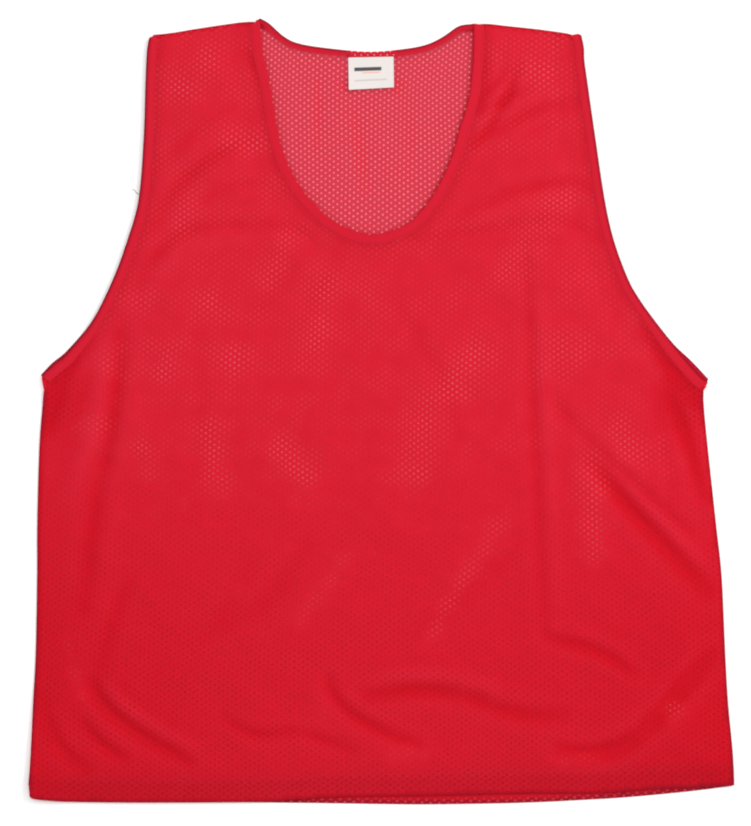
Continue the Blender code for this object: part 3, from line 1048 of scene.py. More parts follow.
class Graph:
    """A material's node tree."""

    NOISE_DETAIL = 2.0

    def __init__(self, name: str) -> None:
        """Starts an empty tree with its output.

        Args:
            name: The material's name.
        """
        self.material = bpy.data.materials.new(name)
        self.material.use_nodes = True
        self.tree = self.material.node_tree
        self.tree.nodes.clear()
        self.output = self.tree.nodes.new("ShaderNodeOutputMaterial")

    def node(self, kind: str, settings: Settings, inputs: Settings) -> bpy.types.Node:
        """Adds one node.

        Args:
            kind: The node's type.
            settings: Its own settings, set first.
            inputs: Values or links of its sockets, by name or number.

        Returns:
            The node.
        """
        made = self.tree.nodes.new(kind)
        for key, value in settings.items():
            setattr(made, key, value)
        for key, value in inputs.items():
            socket = made.inputs[key]
            link = value.socket if isinstance(value, Signal) else value
            if isinstance(link, Socket):
                self.tree.links.new(link, socket)
            else:
                socket.default_value = (*value, 1.0) if socket.type == "RGBA" else value
        return made

    def finish(self, shader: bpy.types.Node) -> Material:
        """Links the shader to the output and returns the material."""
        self.tree.links.new(shader.outputs[0], self.output.inputs["Surface"])
        return self.material

    def plain(self, inputs: Settings) -> Material:
        """Closes the material with one shader that has these inputs."""
        return self.finish(self.node("ShaderNodeBsdfPrincipled", {}, inputs))

    def thin(self, inputs: Settings, glow: Colour, passes: float) -> Material:
        """Closes the material as thin cloth.

        Args:
            inputs: The values or links of the cloth's own shader.
            glow: The colour of the light that passes through it.
            passes: How much of the light does, 0 to 1.

        Returns:
            The material.
        """
        cloth = self.node("ShaderNodeBsdfPrincipled", {}, inputs)
        through = self.node("ShaderNodeBsdfTranslucent", {}, {"Color": glow, "Normal": inputs["Normal"]})
        shaders = {0: passes, 1: cloth.outputs[0], 2: through.outputs[0]}
        return self.finish(self.node("ShaderNodeMixShader", {}, shaders))

    def map(self, name: str = KNIT_MAP) -> tuple["Signal", "Signal"]:
        """The two coordinates of one of the cloth's own maps.

        Args:
            name: The map's name.

        Returns:
            Both coordinates.
        """
        place = self.node("ShaderNodeUVMap", {"uv_map": name}, {})
        parts = self.node("ShaderNodeSeparateXYZ", {}, {"Vector": place.outputs["UV"]})
        return Signal(self, parts.outputs["X"]), Signal(self, parts.outputs["Y"])

    def noise(self, cells: float) -> "Signal":
        """Even noise through the piece's own space, about 0 to 1, with so many cells to the metre.

        Args:
            cells: How many cells to the metre.

        Returns:
            The noise.
        """
        place = self.node("ShaderNodeTexCoord", {}, {})
        inputs = {"Vector": place.outputs["Object"], "Scale": cells, "Detail": self.NOISE_DETAIL}
        return Signal(self, self.node("ShaderNodeTexNoise", {}, inputs).outputs["Fac"])

    def blend(self, share: "Value", first: "Paint", second: "Paint") -> Socket:
        """A mix of two colours: the first at share 0, the second at 1."""
        settings = {"data_type": "RGBA", "clamp_factor": True}
        return self.node("ShaderNodeMix", settings, {0: share, 6: first, 7: second}).outputs[2]

    def bump(self, height: "Signal", depth: float) -> Socket:
        """A normal from a height of 0 to 1 that stands for a depth in millimetres."""
        inputs = {"Height": height, "Distance": depth * MM, "Strength": 1.0}
        return self.node("ShaderNodeBump", {}, inputs).outputs["Normal"]


class Signal:
    """A value in a material. Python's arithmetic on it adds Math nodes."""

    def __init__(self, graph: Graph, socket: Socket) -> None:
        """Wraps a socket of the graph."""
        self.graph = graph
        self.socket = socket

    def _math(self, operation: str, *values: "Value", clamp: bool = False) -> "Signal":
        """Adds one Math node on the given values.

        Args:
            operation: What it works out.
            *values: Its inputs.
            clamp: Keeps the result in 0 to 1.

        Returns:
            Its result.
        """
        settings = {"operation": operation, "use_clamp": clamp}
        made = self.graph.node("ShaderNodeMath", settings, dict(enumerate(values)))
        return Signal(self.graph, made.outputs["Value"])

    def __add__(self, other: "Value") -> "Signal":
        """This and another value."""
        return self._math("ADD", self, other)

    __radd__ = __add__

    def __sub__(self, other: "Value") -> "Signal":
        """This less another value."""
        return self._math("SUBTRACT", self, other)

    def __rsub__(self, other: "Value") -> "Signal":
        """Another value less this."""
        return self._math("SUBTRACT", other, self)

    def __mul__(self, other: "Value") -> "Signal":
        """This times another value."""
        return self._math("MULTIPLY", self, other)

    __rmul__ = __mul__

    def root(self) -> "Signal":
        """The square root."""
        return self._math("SQRT", self)

    def fraction(self) -> "Signal":
        """What is left over a whole number."""
        return self._math("FRACT", self)

    def wave(self) -> "Signal":
        """A wave between 0 and 1, one for each turn of this, in radians."""
        return self._math("COSINE", self) * 0.5 + 0.5

    def clamped(self) -> "Signal":
        """This kept between 0 and 1."""
        return self._math("ADD", self, 0.0, clamp=True)

    def least(self, other: "Value") -> "Signal":
        """The smaller of this and another value."""
        return self._math("MINIMUM", self, other)

    def ramp(self, low: float, high: float) -> "Signal":
        """0 at low to 1 at high, or the other way round where low is the larger."""
        return self._math("MULTIPLY", self - low, 1.0 / (high - low), clamp=True)


Value = Union[Signal, float]
Paint = Union[Colour, Socket]


def mixture(shares: Sequence[float], *signals: Signal) -> Signal:
    """The sum of some signals, each times its share.

    Args:
        shares: One for each signal.
        *signals: The signals.

    Returns:
        The sum.
    """
    total = signals[0] * shares[0]
    for signal, share in zip(signals[1:], shares[1:]):
        total = total + signal * share
    return total


@dataclass(frozen=True)
class KnitFinish:
    """The mesh cloth: fine upright ribs, thin enough for light to pass, with painted light and painted shade
    at the rims of its holes.

    The second map's first value is the painted light at the rims of the holes: 1 where both layers' holes
    meet and the lit surface shows through, 0 where they hardly show, and below 0 lower down, in the hems and
    at the armpits, where the rims get painted shade instead. Its second value is 1 where the cloth lies
    single on the white surface and a paler colour paints the glow of the surface through it, and goes to -1
    where the
    layers lie close: a deeper colour, darker towards the bottom, which also carries painted shade in the
    creases, at the armpits, at the sides and beside the tape. Along the sewn and folded edges it goes on to
    -2, a painted shade darker still.
    """

    name: str = "holed_knit"
    colour: Colour = (0.790, 0.0215, 0.0560)
    shade: Colour = (0.670, 0.0140, 0.0420)
    # The deeper colour where the layers lie close. It also carries the painted shade of creases, armpits,
    # sides and the tape's edges.
    close: Colour = (0.630, 0.0028, 0.0200)
    # Painted light at the rims of the holes, for the lit surface seen through them.
    pale: Colour = (1.0, 0.170, 0.225)
    # Painted shade at the rims of the holes, for the shaded layer seen through them.
    deep: Colour = (0.390, 0.0015, 0.0100)
    # Painted shade along the sewn and folded edges.
    edge: Colour = (0.260, 0.0040, 0.0240)
    # A paler colour that paints the glow of the white surface through a single layer.
    bare: Colour = (0.430, 0.062, 0.106)
    glow: Colour = (0.93, 0.030, 0.070)
    passes: float = 0.50
    # How much painted glow a bare layer gets, and how strong the painted light and painted shade at the rims
    # of its holes are.
    bare_share: float = 0.9
    bare_rim: float = 0.85
    deep_rim: float = 0.85
    rim_reach: float = 1.05
    roughness: float = 0.72
    rough_spread: float = 0.12
    gloss: float = 0.18
    sheen: float = 0.12
    sheen_roughness: float = 0.45
    sheen_tint: Colour = (1.0, 0.25, 0.3)
    ribs: int = 3
    courses: int = 4
    loop_bend: float = 2.2
    fuzz_cells: float = 2600.0
    patch_cells: float = 14.0
    tones: Shares = (0.25, 0.15, 0.25, 0.35)  # of the ribs, loops, fuzz and patches
    heights: Shares = (0.45, 0.2, 0.4, 0.3)  # of the ribs, loops, rims and fuzz
    depth: float = 0.22

    def hole_distance(self, column: Signal, course: Signal, lattice: Lattice) -> Signal:
        """How far a point is from the nearest hole's middle, in millimetres.

        Args:
            column: The map's x, in columns.
            course: Its y, in rows.
            lattice: The lattice of holes.

        Returns:
            The distance.
        """
        found = []
        for step, rise in ((0.0, 0.0), (1.0, 0.5)):
            across = ((column - step) * 0.5 + 0.5).fraction() * 2.0 - 1.0
            along = (course - rise + 0.5).fraction() - 0.5
            across = across * lattice.column
            along = along * lattice.pitch
            found.append((across * across + along * along).root())
        return found[0].least(found[1])

    def build(self, lattice: Lattice) -> Material:
        """Makes the material for cloth with this lattice of holes.

        Args:
            lattice: The lattice of holes.

        Returns:
            The material.
        """
        graph = Graph(self.name)
        column, course = graph.map()
        # The second map: painted light and painted shade at the rims of the holes, and the painted glow,
        # closeness and painted shade of the layer.
        painted_light_and_shade, glow_closeness_and_shade = graph.map(LIGHT_SHADE_MAP)
        from_hole = self.hole_distance(column, course, lattice)
        rim = from_hole.ramp(lattice.hole + self.rim_reach, lattice.hole)
        rib = (column * (math.tau * self.ribs)).wave()
        loop = (course * (math.tau * self.courses) + rib * self.loop_bend).wave()
        fuzz = graph.noise(self.fuzz_cells)
        tone = mixture(self.tones, rib, loop, fuzz, graph.noise(self.patch_cells))
        base = graph.blend(tone, self.shade, self.colour)
        # A bare layer gets the painted glow of the surface through it, a close one the deeper colour that
        # also carries painted shade, and the edges painted shade.
        bare_glow = glow_closeness_and_shade.clamped()
        base = graph.blend(bare_glow * self.bare_share, base, self.bare)
        base = graph.blend(((glow_closeness_and_shade * -1.0).clamped() * (tone + 0.5)).clamped(), base, self.close)
        base = graph.blend((glow_closeness_and_shade * -1.0 - 1.0).clamped(), base, self.edge)
        # Painted light at the rims of the holes, and painted shade at them in the hems and at the armpits.
        base = graph.blend(rim * rim * painted_light_and_shade.clamped() + rim * bare_glow * self.bare_rim, base, self.pale)
        base = graph.blend(rim * (painted_light_and_shade * -1.0).clamped() * self.deep_rim, base, self.deep)
        inputs = {
            "Base Color": base,
            "Roughness": self.roughness + fuzz * self.rough_spread,
            "Specular IOR Level": self.gloss,
            "Sheen Weight": self.sheen,
            "Sheen Roughness": self.sheen_roughness,
            "Sheen Tint": self.sheen_tint,
            "Normal": graph.bump(mixture(self.heights, rib, loop, rim, fuzz), self.depth),
        }
        return graph.thin(inputs, self.glow, self.passes)


@dataclass(frozen=True)
class TapeFinish:
    """The binding: a close knit with fine ribs along its length. Its map is in millimetres along and across.

    The second map's first value goes to -1 where the tape gets painted shade: inside a fold, along its folded
    edge and over the seams.
    """

    name: str = "folded_tape"
    colour: Colour = (0.75, 0.0110, 0.036)
    shade: Colour = (0.64, 0.0075, 0.026)
    # Painted shade for the inside of a fold, the folded edge and the seams.
    deep: Colour = (0.24, 0.0012, 0.014)
    glow: Colour = (0.70, 0.010, 0.030)
    passes: float = 0.30
    roughness: float = 0.70
    rough_spread: float = 0.12
    gloss: float = 0.15
    rib: float = 0.95
    course: float = 1.25
    loop_bend: float = 2.0
    fuzz_cells: float = 2200.0
    patch_cells: float = 40.0
    tones: Shares = (0.3, 0.2, 0.25, 0.25)  # of the ribs, loops, fuzz and patches
    heights: Shares = (0.5, 0.3, 0.3)  # of the ribs, loops and fuzz
    depth: float = 0.16

    def build(self) -> Material:
        """Makes the material.

        Returns:
            The material.
        """
        graph = Graph(self.name)
        along, across = graph.map()
        painted_light_and_shade = graph.map(LIGHT_SHADE_MAP)[0]
        rib = (across * (math.tau / self.rib)).wave()
        loop = (along * (math.tau / self.course) + rib * self.loop_bend).wave()
        fuzz = graph.noise(self.fuzz_cells)
        tone = mixture(self.tones, rib, loop, fuzz, graph.noise(self.patch_cells))
        base = graph.blend(tone, self.shade, self.colour)
        inputs = {
            # Painted shade where the second map's first value is below 0.
            "Base Color": graph.blend((painted_light_and_shade * -1.0).clamped(), base, self.deep),
            "Roughness": self.roughness + fuzz * self.rough_spread,
            "Specular IOR Level": self.gloss,
            "Normal": graph.bump(mixture(self.heights, rib, loop, fuzz), self.depth),
        }
        return graph.thin(inputs, self.glow, self.passes)


@dataclass(frozen=True)
class ThreadFinish:
    """Sewing thread: two plies twisted round each other. Its map runs along and round the thread."""

    name: str = "sewing_thread"
    colour: Colour = (0.62, 0.008, 0.018)
    shade: Colour = (0.34, 0.003, 0.010)
    roughness: float = 0.5
    rough_spread: float = 0.1
    gloss: float = 0.25
    twist: float = 0.55
    fuzz_cells: float = 3000.0
    tones: Shares = (0.7, 0.3)  # of the plies and the fuzz
    depth: float = 0.06

    def build(self) -> Material:
        """Makes the material.

        Returns:
            The material.
        """
        graph = Graph(self.name)
        along, around = graph.map()
        ply = ((along * (1.0 / self.twist) + around) * math.tau).wave()
        fuzz = graph.noise(self.fuzz_cells)
        return graph.plain({
            "Base Color": graph.blend(mixture(self.tones, ply, fuzz), self.shade, self.colour),
            "Roughness": self.roughness + fuzz * self.rough_spread,
            "Specular IOR Level": self.gloss,
            "Normal": graph.bump(ply, self.depth),
        })


class Mark(NamedTuple):
    """A plain mark on the label: from and to across it, from and to up it, its colour and its strength."""

    right: float
    left: float
    low: float
    high: float
    colour: Colour
    strength: float


@dataclass(frozen=True)
class LabelFinish:
    """The woven label: an off-white ground with a plain bar, a thin line and a row of small ticks."""

    name: str = "woven_label"
    ground: Colour = (0.70, 0.645, 0.62)
    ground_shade: Colour = (0.62, 0.575, 0.55)
    line: Mark = Mark(11.0, 24.6, 12.1, 12.7, (0.80, 0.22, 0.06), 0.9)
    ticks: Mark = Mark(4.6, 29.9, 6.0, 7.3, (0.36, 0.34, 0.34), 0.8)
    bar: Mark = Mark(4.6, 26.0, 13.8, 16.6, (0.035, 0.035, 0.045), 0.95)
    tick_pitch: float = 1.7
    tick_ends: Pair = (0.62, 0.54)  # where a tick fades out, as shares of its pitch
    soft: float = 0.12  # how soft a mark's edges are
    warp: float = 0.42
    weft: float = 0.336
    fuzz_cells: float = 2500.0
    tones: Shares = (0.3, 0.4, 0.3)  # of the warp, the weft and the fuzz
    heights: Shares = (0.4, 0.6, 0.2)
    depth: float = 0.08
    roughness: float = 0.75
    rough_spread: float = 0.1
    gloss: float = 0.25

    def _band(self, value: Signal, low: float, high: float) -> Signal:
        """1 between two places, 0 outside."""
        return value.ramp(low - self.soft, low + self.soft) * value.ramp(high + self.soft, high - self.soft)

    def build(self) -> Material:
        """Makes the material. The map is in millimetres from the label's lower right corner.

        Returns:
            The material.
        """
        graph = Graph(self.name)
        across, up = graph.map()
        warp = (across * (math.tau / self.warp)).wave()
        weft = (up * (math.tau / self.weft)).wave()
        fuzz = graph.noise(self.fuzz_cells)
        colour = graph.blend(mixture(self.tones, warp, weft, fuzz), self.ground_shade, self.ground)
        for mark in (self.line, self.ticks, self.bar):
            shown = self._band(across, mark.right, mark.left) * self._band(up, mark.low, mark.high)
            if mark is self.ticks:
                shown = shown * (across * (1.0 / self.tick_pitch)).fraction().ramp(*self.tick_ends)
            colour = graph.blend(shown * mark.strength, colour, mark.colour)
        return graph.plain({
            "Base Color": colour,
            "Roughness": self.roughness + fuzz * self.rough_spread,
            "Specular IOR Level": self.gloss,
            "Normal": graph.bump(mixture(self.heights, warp, weft, fuzz), self.depth),
        })


@dataclass(frozen=True)
class FloorFinish:
    """The plain white surface."""

    name: str = "white_surface"
    colour: Colour = (0.93, 0.93, 0.93)
    shade: Colour = (0.92535, 0.92535, 0.92535)
    grain_cells: float = 30.0
    roughness: float = 0.9

    def build(self) -> Material:
        """Makes the material.

        Returns:
            The material.
        """
        graph = Graph(self.name)
        colour = graph.blend(graph.noise(self.grain_cells), self.colour, self.shade)
        return graph.plain({"Base Color": colour, "Roughness": self.roughness, "Specular IOR Level": 0.0})


@dataclass
class Finishes:
    """Every material, made once."""

    lattice: Lattice
    end_colour: Colour = (0.075, 0.060, 0.065)
    end_shade: Colour = (0.040, 0.030, 0.035)

    def __post_init__(self) -> None:
        """Builds them."""
        self.knit = KnitFinish().build(self.lattice)
        self.tape = TapeFinish().build()
        self.thread = ThreadFinish().build()
        self.loose_end = ThreadFinish("loose_end", self.end_colour, self.end_shade).build()
        self.label = LabelFinish().build()
        self.floor = FloorFinish().build()


# ---- Sub-assemblies ----


@dataclass
class HoledCloth:
    """Cloth with every hole cut, filled from its lattice: six corners a hole, and faces between the holes."""

    lattice: Lattice
    layer: Layer
    outline: Array
    height: Callable[[Array], Array]
    tones: Callable[[Array], Array]
    solid_edges: Sequence[tuple[Array, float]] = ()  # lines with no holes within a distance of them
    edge_room: float = 0.75
    origin: Pair = (0.0, 0.0)  # the place of the lattice's middle
    seed: int = 1
    hole_shape: Pair = (0.96, 1.04)
    beyond: Pair = (1.08, 12.0)  # how far the lattice goes past the outline: times, and plus

    def _centres(self) -> tuple[Array, Array]:
        """The even lattice over the outline.

        Returns:
            The grid of hole numbers and each hole's place in plan.
        """
        reach = np.abs(self.outline - self.origin).max(axis=0) * self.beyond[0] + self.beyond[1]
        columns = 2 * int(reach[0] / self.lattice.column / 2.0 + 1)
        rows = int(reach[1] / self.lattice.pitch + 1)
        i = np.arange(-columns, columns + 1)
        j = np.arange(-rows, rows + 1)
        grid_i, grid_j = np.meshgrid(i, j, indexing="ij")
        flat = np.column_stack([
            grid_i.ravel() * self.lattice.column,
            (grid_j.ravel() + 0.5 * (grid_i.ravel() % 2)) * self.lattice.pitch,
        ])
        numbers = np.arange(grid_i.size).reshape(grid_i.shape)
        return numbers, self.lattice.spread(flat, self.layer) + self.origin

    def _kept(self, centres: Array) -> Array:
        """Which holes lie whole inside the outline, clear of the solid edges.

        Args:
            centres: Each hole's place.

        Returns:
            Whether each hole is cut.
        """
        low, high = self.outline.min(axis=0), self.outline.max(axis=0)
        kept = np.all((centres > low) & (centres < high), axis=1)
        edge = closed(self.outline)
        kept[kept] = is_inside(centres[kept], edge[:-1], edge[1:])
        room = self.lattice.hole + self.edge_room
        kept[kept] = distance_to_line(centres[kept], edge) > room
        for line, width in self.solid_edges:
            kept[kept] = distance_to_line(centres[kept], line) > width + self.lattice.hole
        return kept

    def _neighbours(self, numbers: Array) -> tuple[Array, Array, Array]:
        """The hole above each hole, and those up and down to the right, or -1.

        Args:
            numbers: The grid of hole numbers.

        Returns:
            The three, for every hole.
        """
        none = -np.ones_like(numbers)
        above, right_up, right_down = none.copy(), none.copy(), none.copy()
        above[:, :-1] = numbers[:, 1:]
        even = (np.arange(numbers.shape[0]) - numbers.shape[0] // 2) % 2 == 0
        for column in range(numbers.shape[0] - 1):
            following = numbers[column + 1]
            if even[column]:
                right_up[column] = following
                right_down[column, 1:] = following[:-1]
            else:
                right_down[column] = following
                right_up[column, :-1] = following[1:]
        return above.ravel(), right_up.ravel(), right_down.ravel()

    def _between(self, numbers: Array, kept: Array) -> tuple[Array, Array]:
        """The faces between kept holes, as indices of hole corners: six a hole.

        Args:
            numbers: The grid of hole numbers.
            kept: Which holes are cut.

        Returns:
            Rows of four corners and rows of three.
        """
        above, right_up, right_down = self._neighbours(numbers)
        here = np.arange(len(kept))

        def both(other: Array) -> Array:
            """Where this hole and the other one are both cut."""
            return kept & (other >= 0) & kept[np.maximum(other, 0)]

        quads = []
        for other, corners in ((above, (1, 5, 4, 2)), (right_up, (0, 4, 3, 1)), (right_down, (5, 3, 2, 0))):
            a, b = here[both(other)], other[both(other)]
            first, second, third, fourth = corners
            quads.append(np.column_stack([6 * a + first, 6 * b + second, 6 * b + third, 6 * a + fourth]))
        triangles = []
        for one, two, corners in ((right_down, right_up, (0, 2, 4)), (right_up, above, (1, 3, 5))):
            found = both(one) & both(two)
            a, b, c = here[found], one[found], two[found]
            first, second, third = corners
            triangles.append(np.column_stack([6 * a + first, 6 * b + second, 6 * c + third]))
        return np.vstack(quads), np.vstack(triangles)

    def _rim(self, quads: Array, triangles: Array, kept: Array) -> Array:
        """The edges round the filled lattice, which the border meets.

        Args:
            quads: The faces between holes.
            triangles: Those with three corners.
            kept: Which holes are cut.

        Returns:
            Rows of two hole corners.
        """
        holes = 6 * np.flatnonzero(kept)[:, None] + np.arange(6)
        edges = []
        for rows in (quads, triangles, holes):
            for k in range(rows.shape[1]):
                edges.append(np.column_stack([rows[:, k], rows[:, (k + 1) % rows.shape[1]]]))
        edges = np.vstack(edges)
        size = 6 * len(kept)
        forward = edges[:, 0].astype(np.int64) * size + edges[:, 1]
        backward = edges[:, 1].astype(np.int64) * size + edges[:, 0]
        return edges[~np.isin(forward, backward)]

    def _border(self, corners: Array, rim: Array) -> tuple[Array, Array, Array]:
        """Fills the band between the outline and the lattice.

        Args:
            corners: The places of all hole corners.
            rim: The edges round the filled lattice.

        Returns:
            The new points, their faces, and for each point the hole corner that it stands for, or -1.
        """
        used, place = np.unique(rim, return_inverse=True)
        place = place.reshape(rim.shape)
        count = len(self.outline)
        plan = [Vector(point) for point in np.vstack([self.outline, corners[used]])]
        edges = [(k, (k + 1) % count) for k in range(count)]
        edges += [(count + a, count + b) for a, b in place.tolist()]
        verts, _, faces, origins, _, _ = delaunay_2d_cdt(plan, edges, [list(range(count))], 1, 1e-5)
        points = np.array([vert[:] for vert in verts])
        faces = np.array(faces)
        middles = points[faces].mean(axis=1)
        filled = is_inside(middles, corners[rim[:, 0]], corners[rim[:, 1]])
        same = np.full(len(points), -1)
        for number, found in enumerate(origins):
            inner = [k - count for k in found if k >= count]
            if inner:
                same[number] = used[inner[0]]
        return points, faces[~filled], same

    def build(self, shape: Shape) -> int:
        """Adds the cloth to a shape.

        Args:
            shape: Receives it.

        Returns:
            How many holes were cut.
        """
        numbers, centres = self._centres()
        kept = self._kept(centres)
        quads, triangles = self._between(numbers, kept)
        rng = np.random.default_rng(self.seed)
        radius = self.lattice.hole * (1.0 + self.lattice.uneven_hole * rng.standard_normal(len(centres)))
        turn = np.arange(6) * math.tau / 6.0
        ring = np.column_stack([np.cos(turn) * self.hole_shape[0], np.sin(turn) * self.hole_shape[1]])
        corners = (centres[:, None, :] + ring * radius[:, None, None]).reshape(-1, 2)
        rim = self._rim(quads, triangles, kept)
        border_points, border_faces, same = self._border(corners, rim)
        keep_corner = np.repeat(kept, 6)
        number = np.cumsum(keep_corner) - 1
        fresh = np.flatnonzero(same < 0)
        border_number = np.where(same >= 0, number[np.maximum(same, 0)], 0)
        border_number[fresh] = keep_corner.sum() + np.arange(len(fresh))
        points = np.vstack([corners[keep_corner], border_points[fresh]])
        flat_points = self.lattice.flatten(points - self.origin, self.layer)
        maps = flat_points / np.array([self.lattice.column, self.lattice.pitch])
        solid = np.column_stack([points, self.height(points)])
        faces = [number[quads], number[triangles], border_number[border_faces]]
        shape.add(solid, maps, faces, self.tones(points))
        return int(kept.sum())


@dataclass(frozen=True)
class PanelLightAndShade:
    """The painted light and painted shade at the rims of a panel's holes, and how close it lies with the
    painted shade that goes with that, in the steps of its second map.
    """

    # Painted light at the rims of the holes, with a random part.
    rim: float = 0.24
    rim_uneven: float = 0.17
    # Painted shade at the rims: more towards the hem, at its two ends, in the hem and at the armpits.
    rim_down: float = 0.66  # how much deeper the rims are at the hem
    rim_aside: float = 0.25  # and how much deeper still at its two ends
    rim_hem: float = 0.8
    rim_armpit: float = 0.9
    # More painted light at the rims in the windows, and more still lower down.
    window: float = 0.6
    window_down: float = 0.45
    # How close the layers lie, which deepens their colour, with a random part.
    close: float = 0.20
    close_uneven: float = 0.05
    # Darker towards the bottom.
    close_down: float = 0.28
    # Painted shade at both sides of the panel.
    close_aside: float = 0.4
    close_hem: float = 0.12
    # Painted shade at the armpits, in the creases' troughs, beside the raised tape and along the sewn and
    # folded edges.
    close_armpit: float = 0.6
    crease: float = 0.33  # in a trough of 1 mm
    beside: float = 0.30  # beside the tape
    edge: float = 1.3  # along the sewn and folded edges
    # Painted light and painted shade on the bare back from its waves: less glow in their troughs, more on
    # their ridges.
    wave: Pair = (0.8, 1.2)  # how much the back's waves change it, and the most that it reaches
    # Painted shade on the back's hem where it shows below the front, and painted light at the rims of its
    # holes there.
    peek: Pair = (1.4, 0.75)  # closeness and rims of the back's hem, where it shows


@dataclass
class MeshPanel:
    """One panel of the bib, with its hem turned up and stitched inside."""

    layer: Layer
    plan: Plan
    laid: LaidCloth
    lattice: Lattice
    tape_cover: float = 5.6  # no holes are cut under the tape
    hem_gap: float = 0.55  # between the panel and its turned-up hem
    hem_tuck: float = 1.6  # how far the hem reaches above its stitches
    hem_slip: Pair = (1.75, 0.9)  # the turned-up layer's holes miss the outer one's
    hem_room: float = 0.8  # between the turned-up hem and the side seams
    fold_points: int = 5
    # The painted light and painted shade of the second map.
    tones: PanelLightAndShade = PanelLightAndShade()
    # Where the colour gets darker towards the bottom, and how wide the panel is for the painted shade at its
    # sides.
    deep_from: float = 70.0  # the height in plan below which the colour deepens
    deep_run: float = 340.0
    half_width: float = 270.0
    peek_run: float = 12.0
    # Where the painted shade beside the tape lies, and where painted shade gathers at the armpits.
    beside_at: Pair = (9.0, 5.0)  # from the opening's edge, in millimetres, and how wide
    middle: Pair = (-5.0, 12.0)  # halfway between the armpits
    armpit: Pair = (255.0, 0.0)  # from there, on both sides
    armpit_reach: float = 30.0
    # The painted shade along the edges: its widths on the left, the right, both shoulders and the hem, and
    # how it is measured.
    edge_widths: Shares = (1.0, 1.8, 0.8, 0.8, 1.0)  # left, right, both shoulders and the hem
    edge_most: float = 9.0
    edge_step: float = 8.0
    # Painted shade along the hem's fold.
    fold_tones: Pair = (0.0, -1.8)
    patches: Waves = field(default_factory=lambda: Waves(51, 16.0, 60.0))

    def _solid_edges(self) -> list[tuple[Array, float]]:
        """The edges that tape or the neck's fold covers, and how wide it lies on them.

        Returns:
            Each edge with its width.
        """
        covered = [self.plan.armhole(side, self.layer) for side in Side]
        covered.append(self.plan.scoop() if self.layer is Layer.FRONT else self.plan.neckline())
        return [(line, self.tape_cover) for line in covered]

    def _hem_outline(self) -> Array:
        """The turned-up part of the hem, seen from above.

        Returns:
            Rows of x and y.
        """
        edge = self.plan.hem(self.layer)
        top = edge[::-1] + np.array([0.0, self.laid.hem_height + self.hem_tuck])
        y, right, left = np.array(SIDES)[::-1].T
        right, left = np.interp(top[:, 1], y, right), np.interp(top[:, 1], y, left)
        top[:, 0] = np.clip(top[:, 0], right + self.hem_room, left - self.hem_room)
        return np.vstack([edge, top])

    def _height(self, points: Array) -> Array:
        """The panel's own height."""
        return self.laid.height(self.layer, points)

    def _hem_height(self, points: Array) -> Array:
        """The turned-up hem lies below the front's cloth and above the back's."""
        side = -1.0 if self.layer is Layer.FRONT else 1.0
        return self._height(points) + side * self.hem_gap

    def _tones(self, points: Array) -> Array:
        """The second map: the painted light and painted shade at the rims of the holes, and how bare or close
        the layer lies, with the painted glow and painted shade that go with that.

        Args:
            points: Rows of x and y.

        Returns:
            Two numbers for each point.
        """
        tones = self.tones
        above = self.laid.above_hem(points, self.layer)
        in_hem = 1.0 - smooth_step((above - self.laid.hem_height + 1.0) / 2.0)
        down = smooth_step((self.deep_from - points[:, 1]) / self.deep_run)
        aside = (points[:, 0] / self.half_width) ** 2
        uneven = self.patches.at(points)
        # Painted shade gathers at both armpits.
        from_armpits = np.linalg.norm(np.abs(points - self.middle) - self.armpit, axis=1)
        near_armpit = np.exp(-((from_armpits / self.armpit_reach) ** 2))
        # Painted light at the rims in the windows, more lower down; painted shade at the rims towards the
        # hem, at its two ends, in the hem and at the armpits.
        windows = (tones.window + tones.window_down * down) * self.lattice.windows(points)
        deeper = down * (tones.rim_down + tones.rim_aside * aside)
        rims = tones.rim + tones.rim_uneven * uneven - deeper + windows
        rims = rims * (1.0 - in_hem) - tones.rim_hem * in_hem - tones.rim_armpit * near_armpit
        # The bare back gets a painted glow, less of it in its waves' troughs; its hem, where it shows below
        # the front, gets painted shade and painted light at its rims.
        if self.layer is Layer.BACK:
            bare = self.laid.in_scoop(points)
            waves = np.clip(1.0 - tones.wave[0] * crease_depth(points, BACK_CREASES), 0.0, tones.wave[1])
            peek = 1.0 - smooth_step(above / self.peek_run)
            rims = rims * (1.0 - bare) * (1.0 - peek) + tones.peek[1] * peek
            return np.column_stack([rims, bare * waves - (tones.peek[0] * peek + self._edge(points))])
        # Closeness deepens the colour and gets darker towards the bottom; painted shade at the sides, at the
        # armpits, in the creases, beside the tape and along the edges.
        close = tones.close + down * (tones.close_down + tones.close_aside * aside) + tones.close_hem * in_hem
        close = close + tones.close_uneven * uneven + tones.close_armpit * near_armpit
        close += tones.crease * self.laid.crease(points) + tones.beside * self._beside_tape(points)
        return np.column_stack([rims, -np.clip(close, 0.0, 1.0) - self._edge(points)])

    def _beside_tape(self, points: Array) -> Array:
        """Where painted shade lies beside the raised tape: 1 there, 0 away from it.

        Args:
            points: Rows of x and y.

        Returns:
            A number for each point.
        """
        edges = [self.plan.scoop(), *(self.plan.armhole(side, self.layer) for side in Side)]
        gap = np.min([distance_to_line(points, edge[::3]) for edge in edges], axis=0)
        return np.exp(-(((gap - self.beside_at[0]) / self.beside_at[1]) ** 2))

    def _edge(self, points: Array) -> Array:
        """How much painted shade the panel gets along its sewn and folded edges.

        Args:
            points: Rows of x and y.

        Returns:
            A number for each point.
        """
        sides = (Side.LEFT, Side.RIGHT)
        lines = [*map(self.plan.side, sides), *map(self.plan.shoulder, sides), self.plan.hem(self.layer)]
        far = np.full(len(points), self.edge_most)
        for line, width in zip(lines, self.edge_widths):
            far = np.minimum(far, distance_to_line(points, evenly_spaced(line, self.edge_step)) / width)
        return self.tones.edge * np.exp(-(far**2))

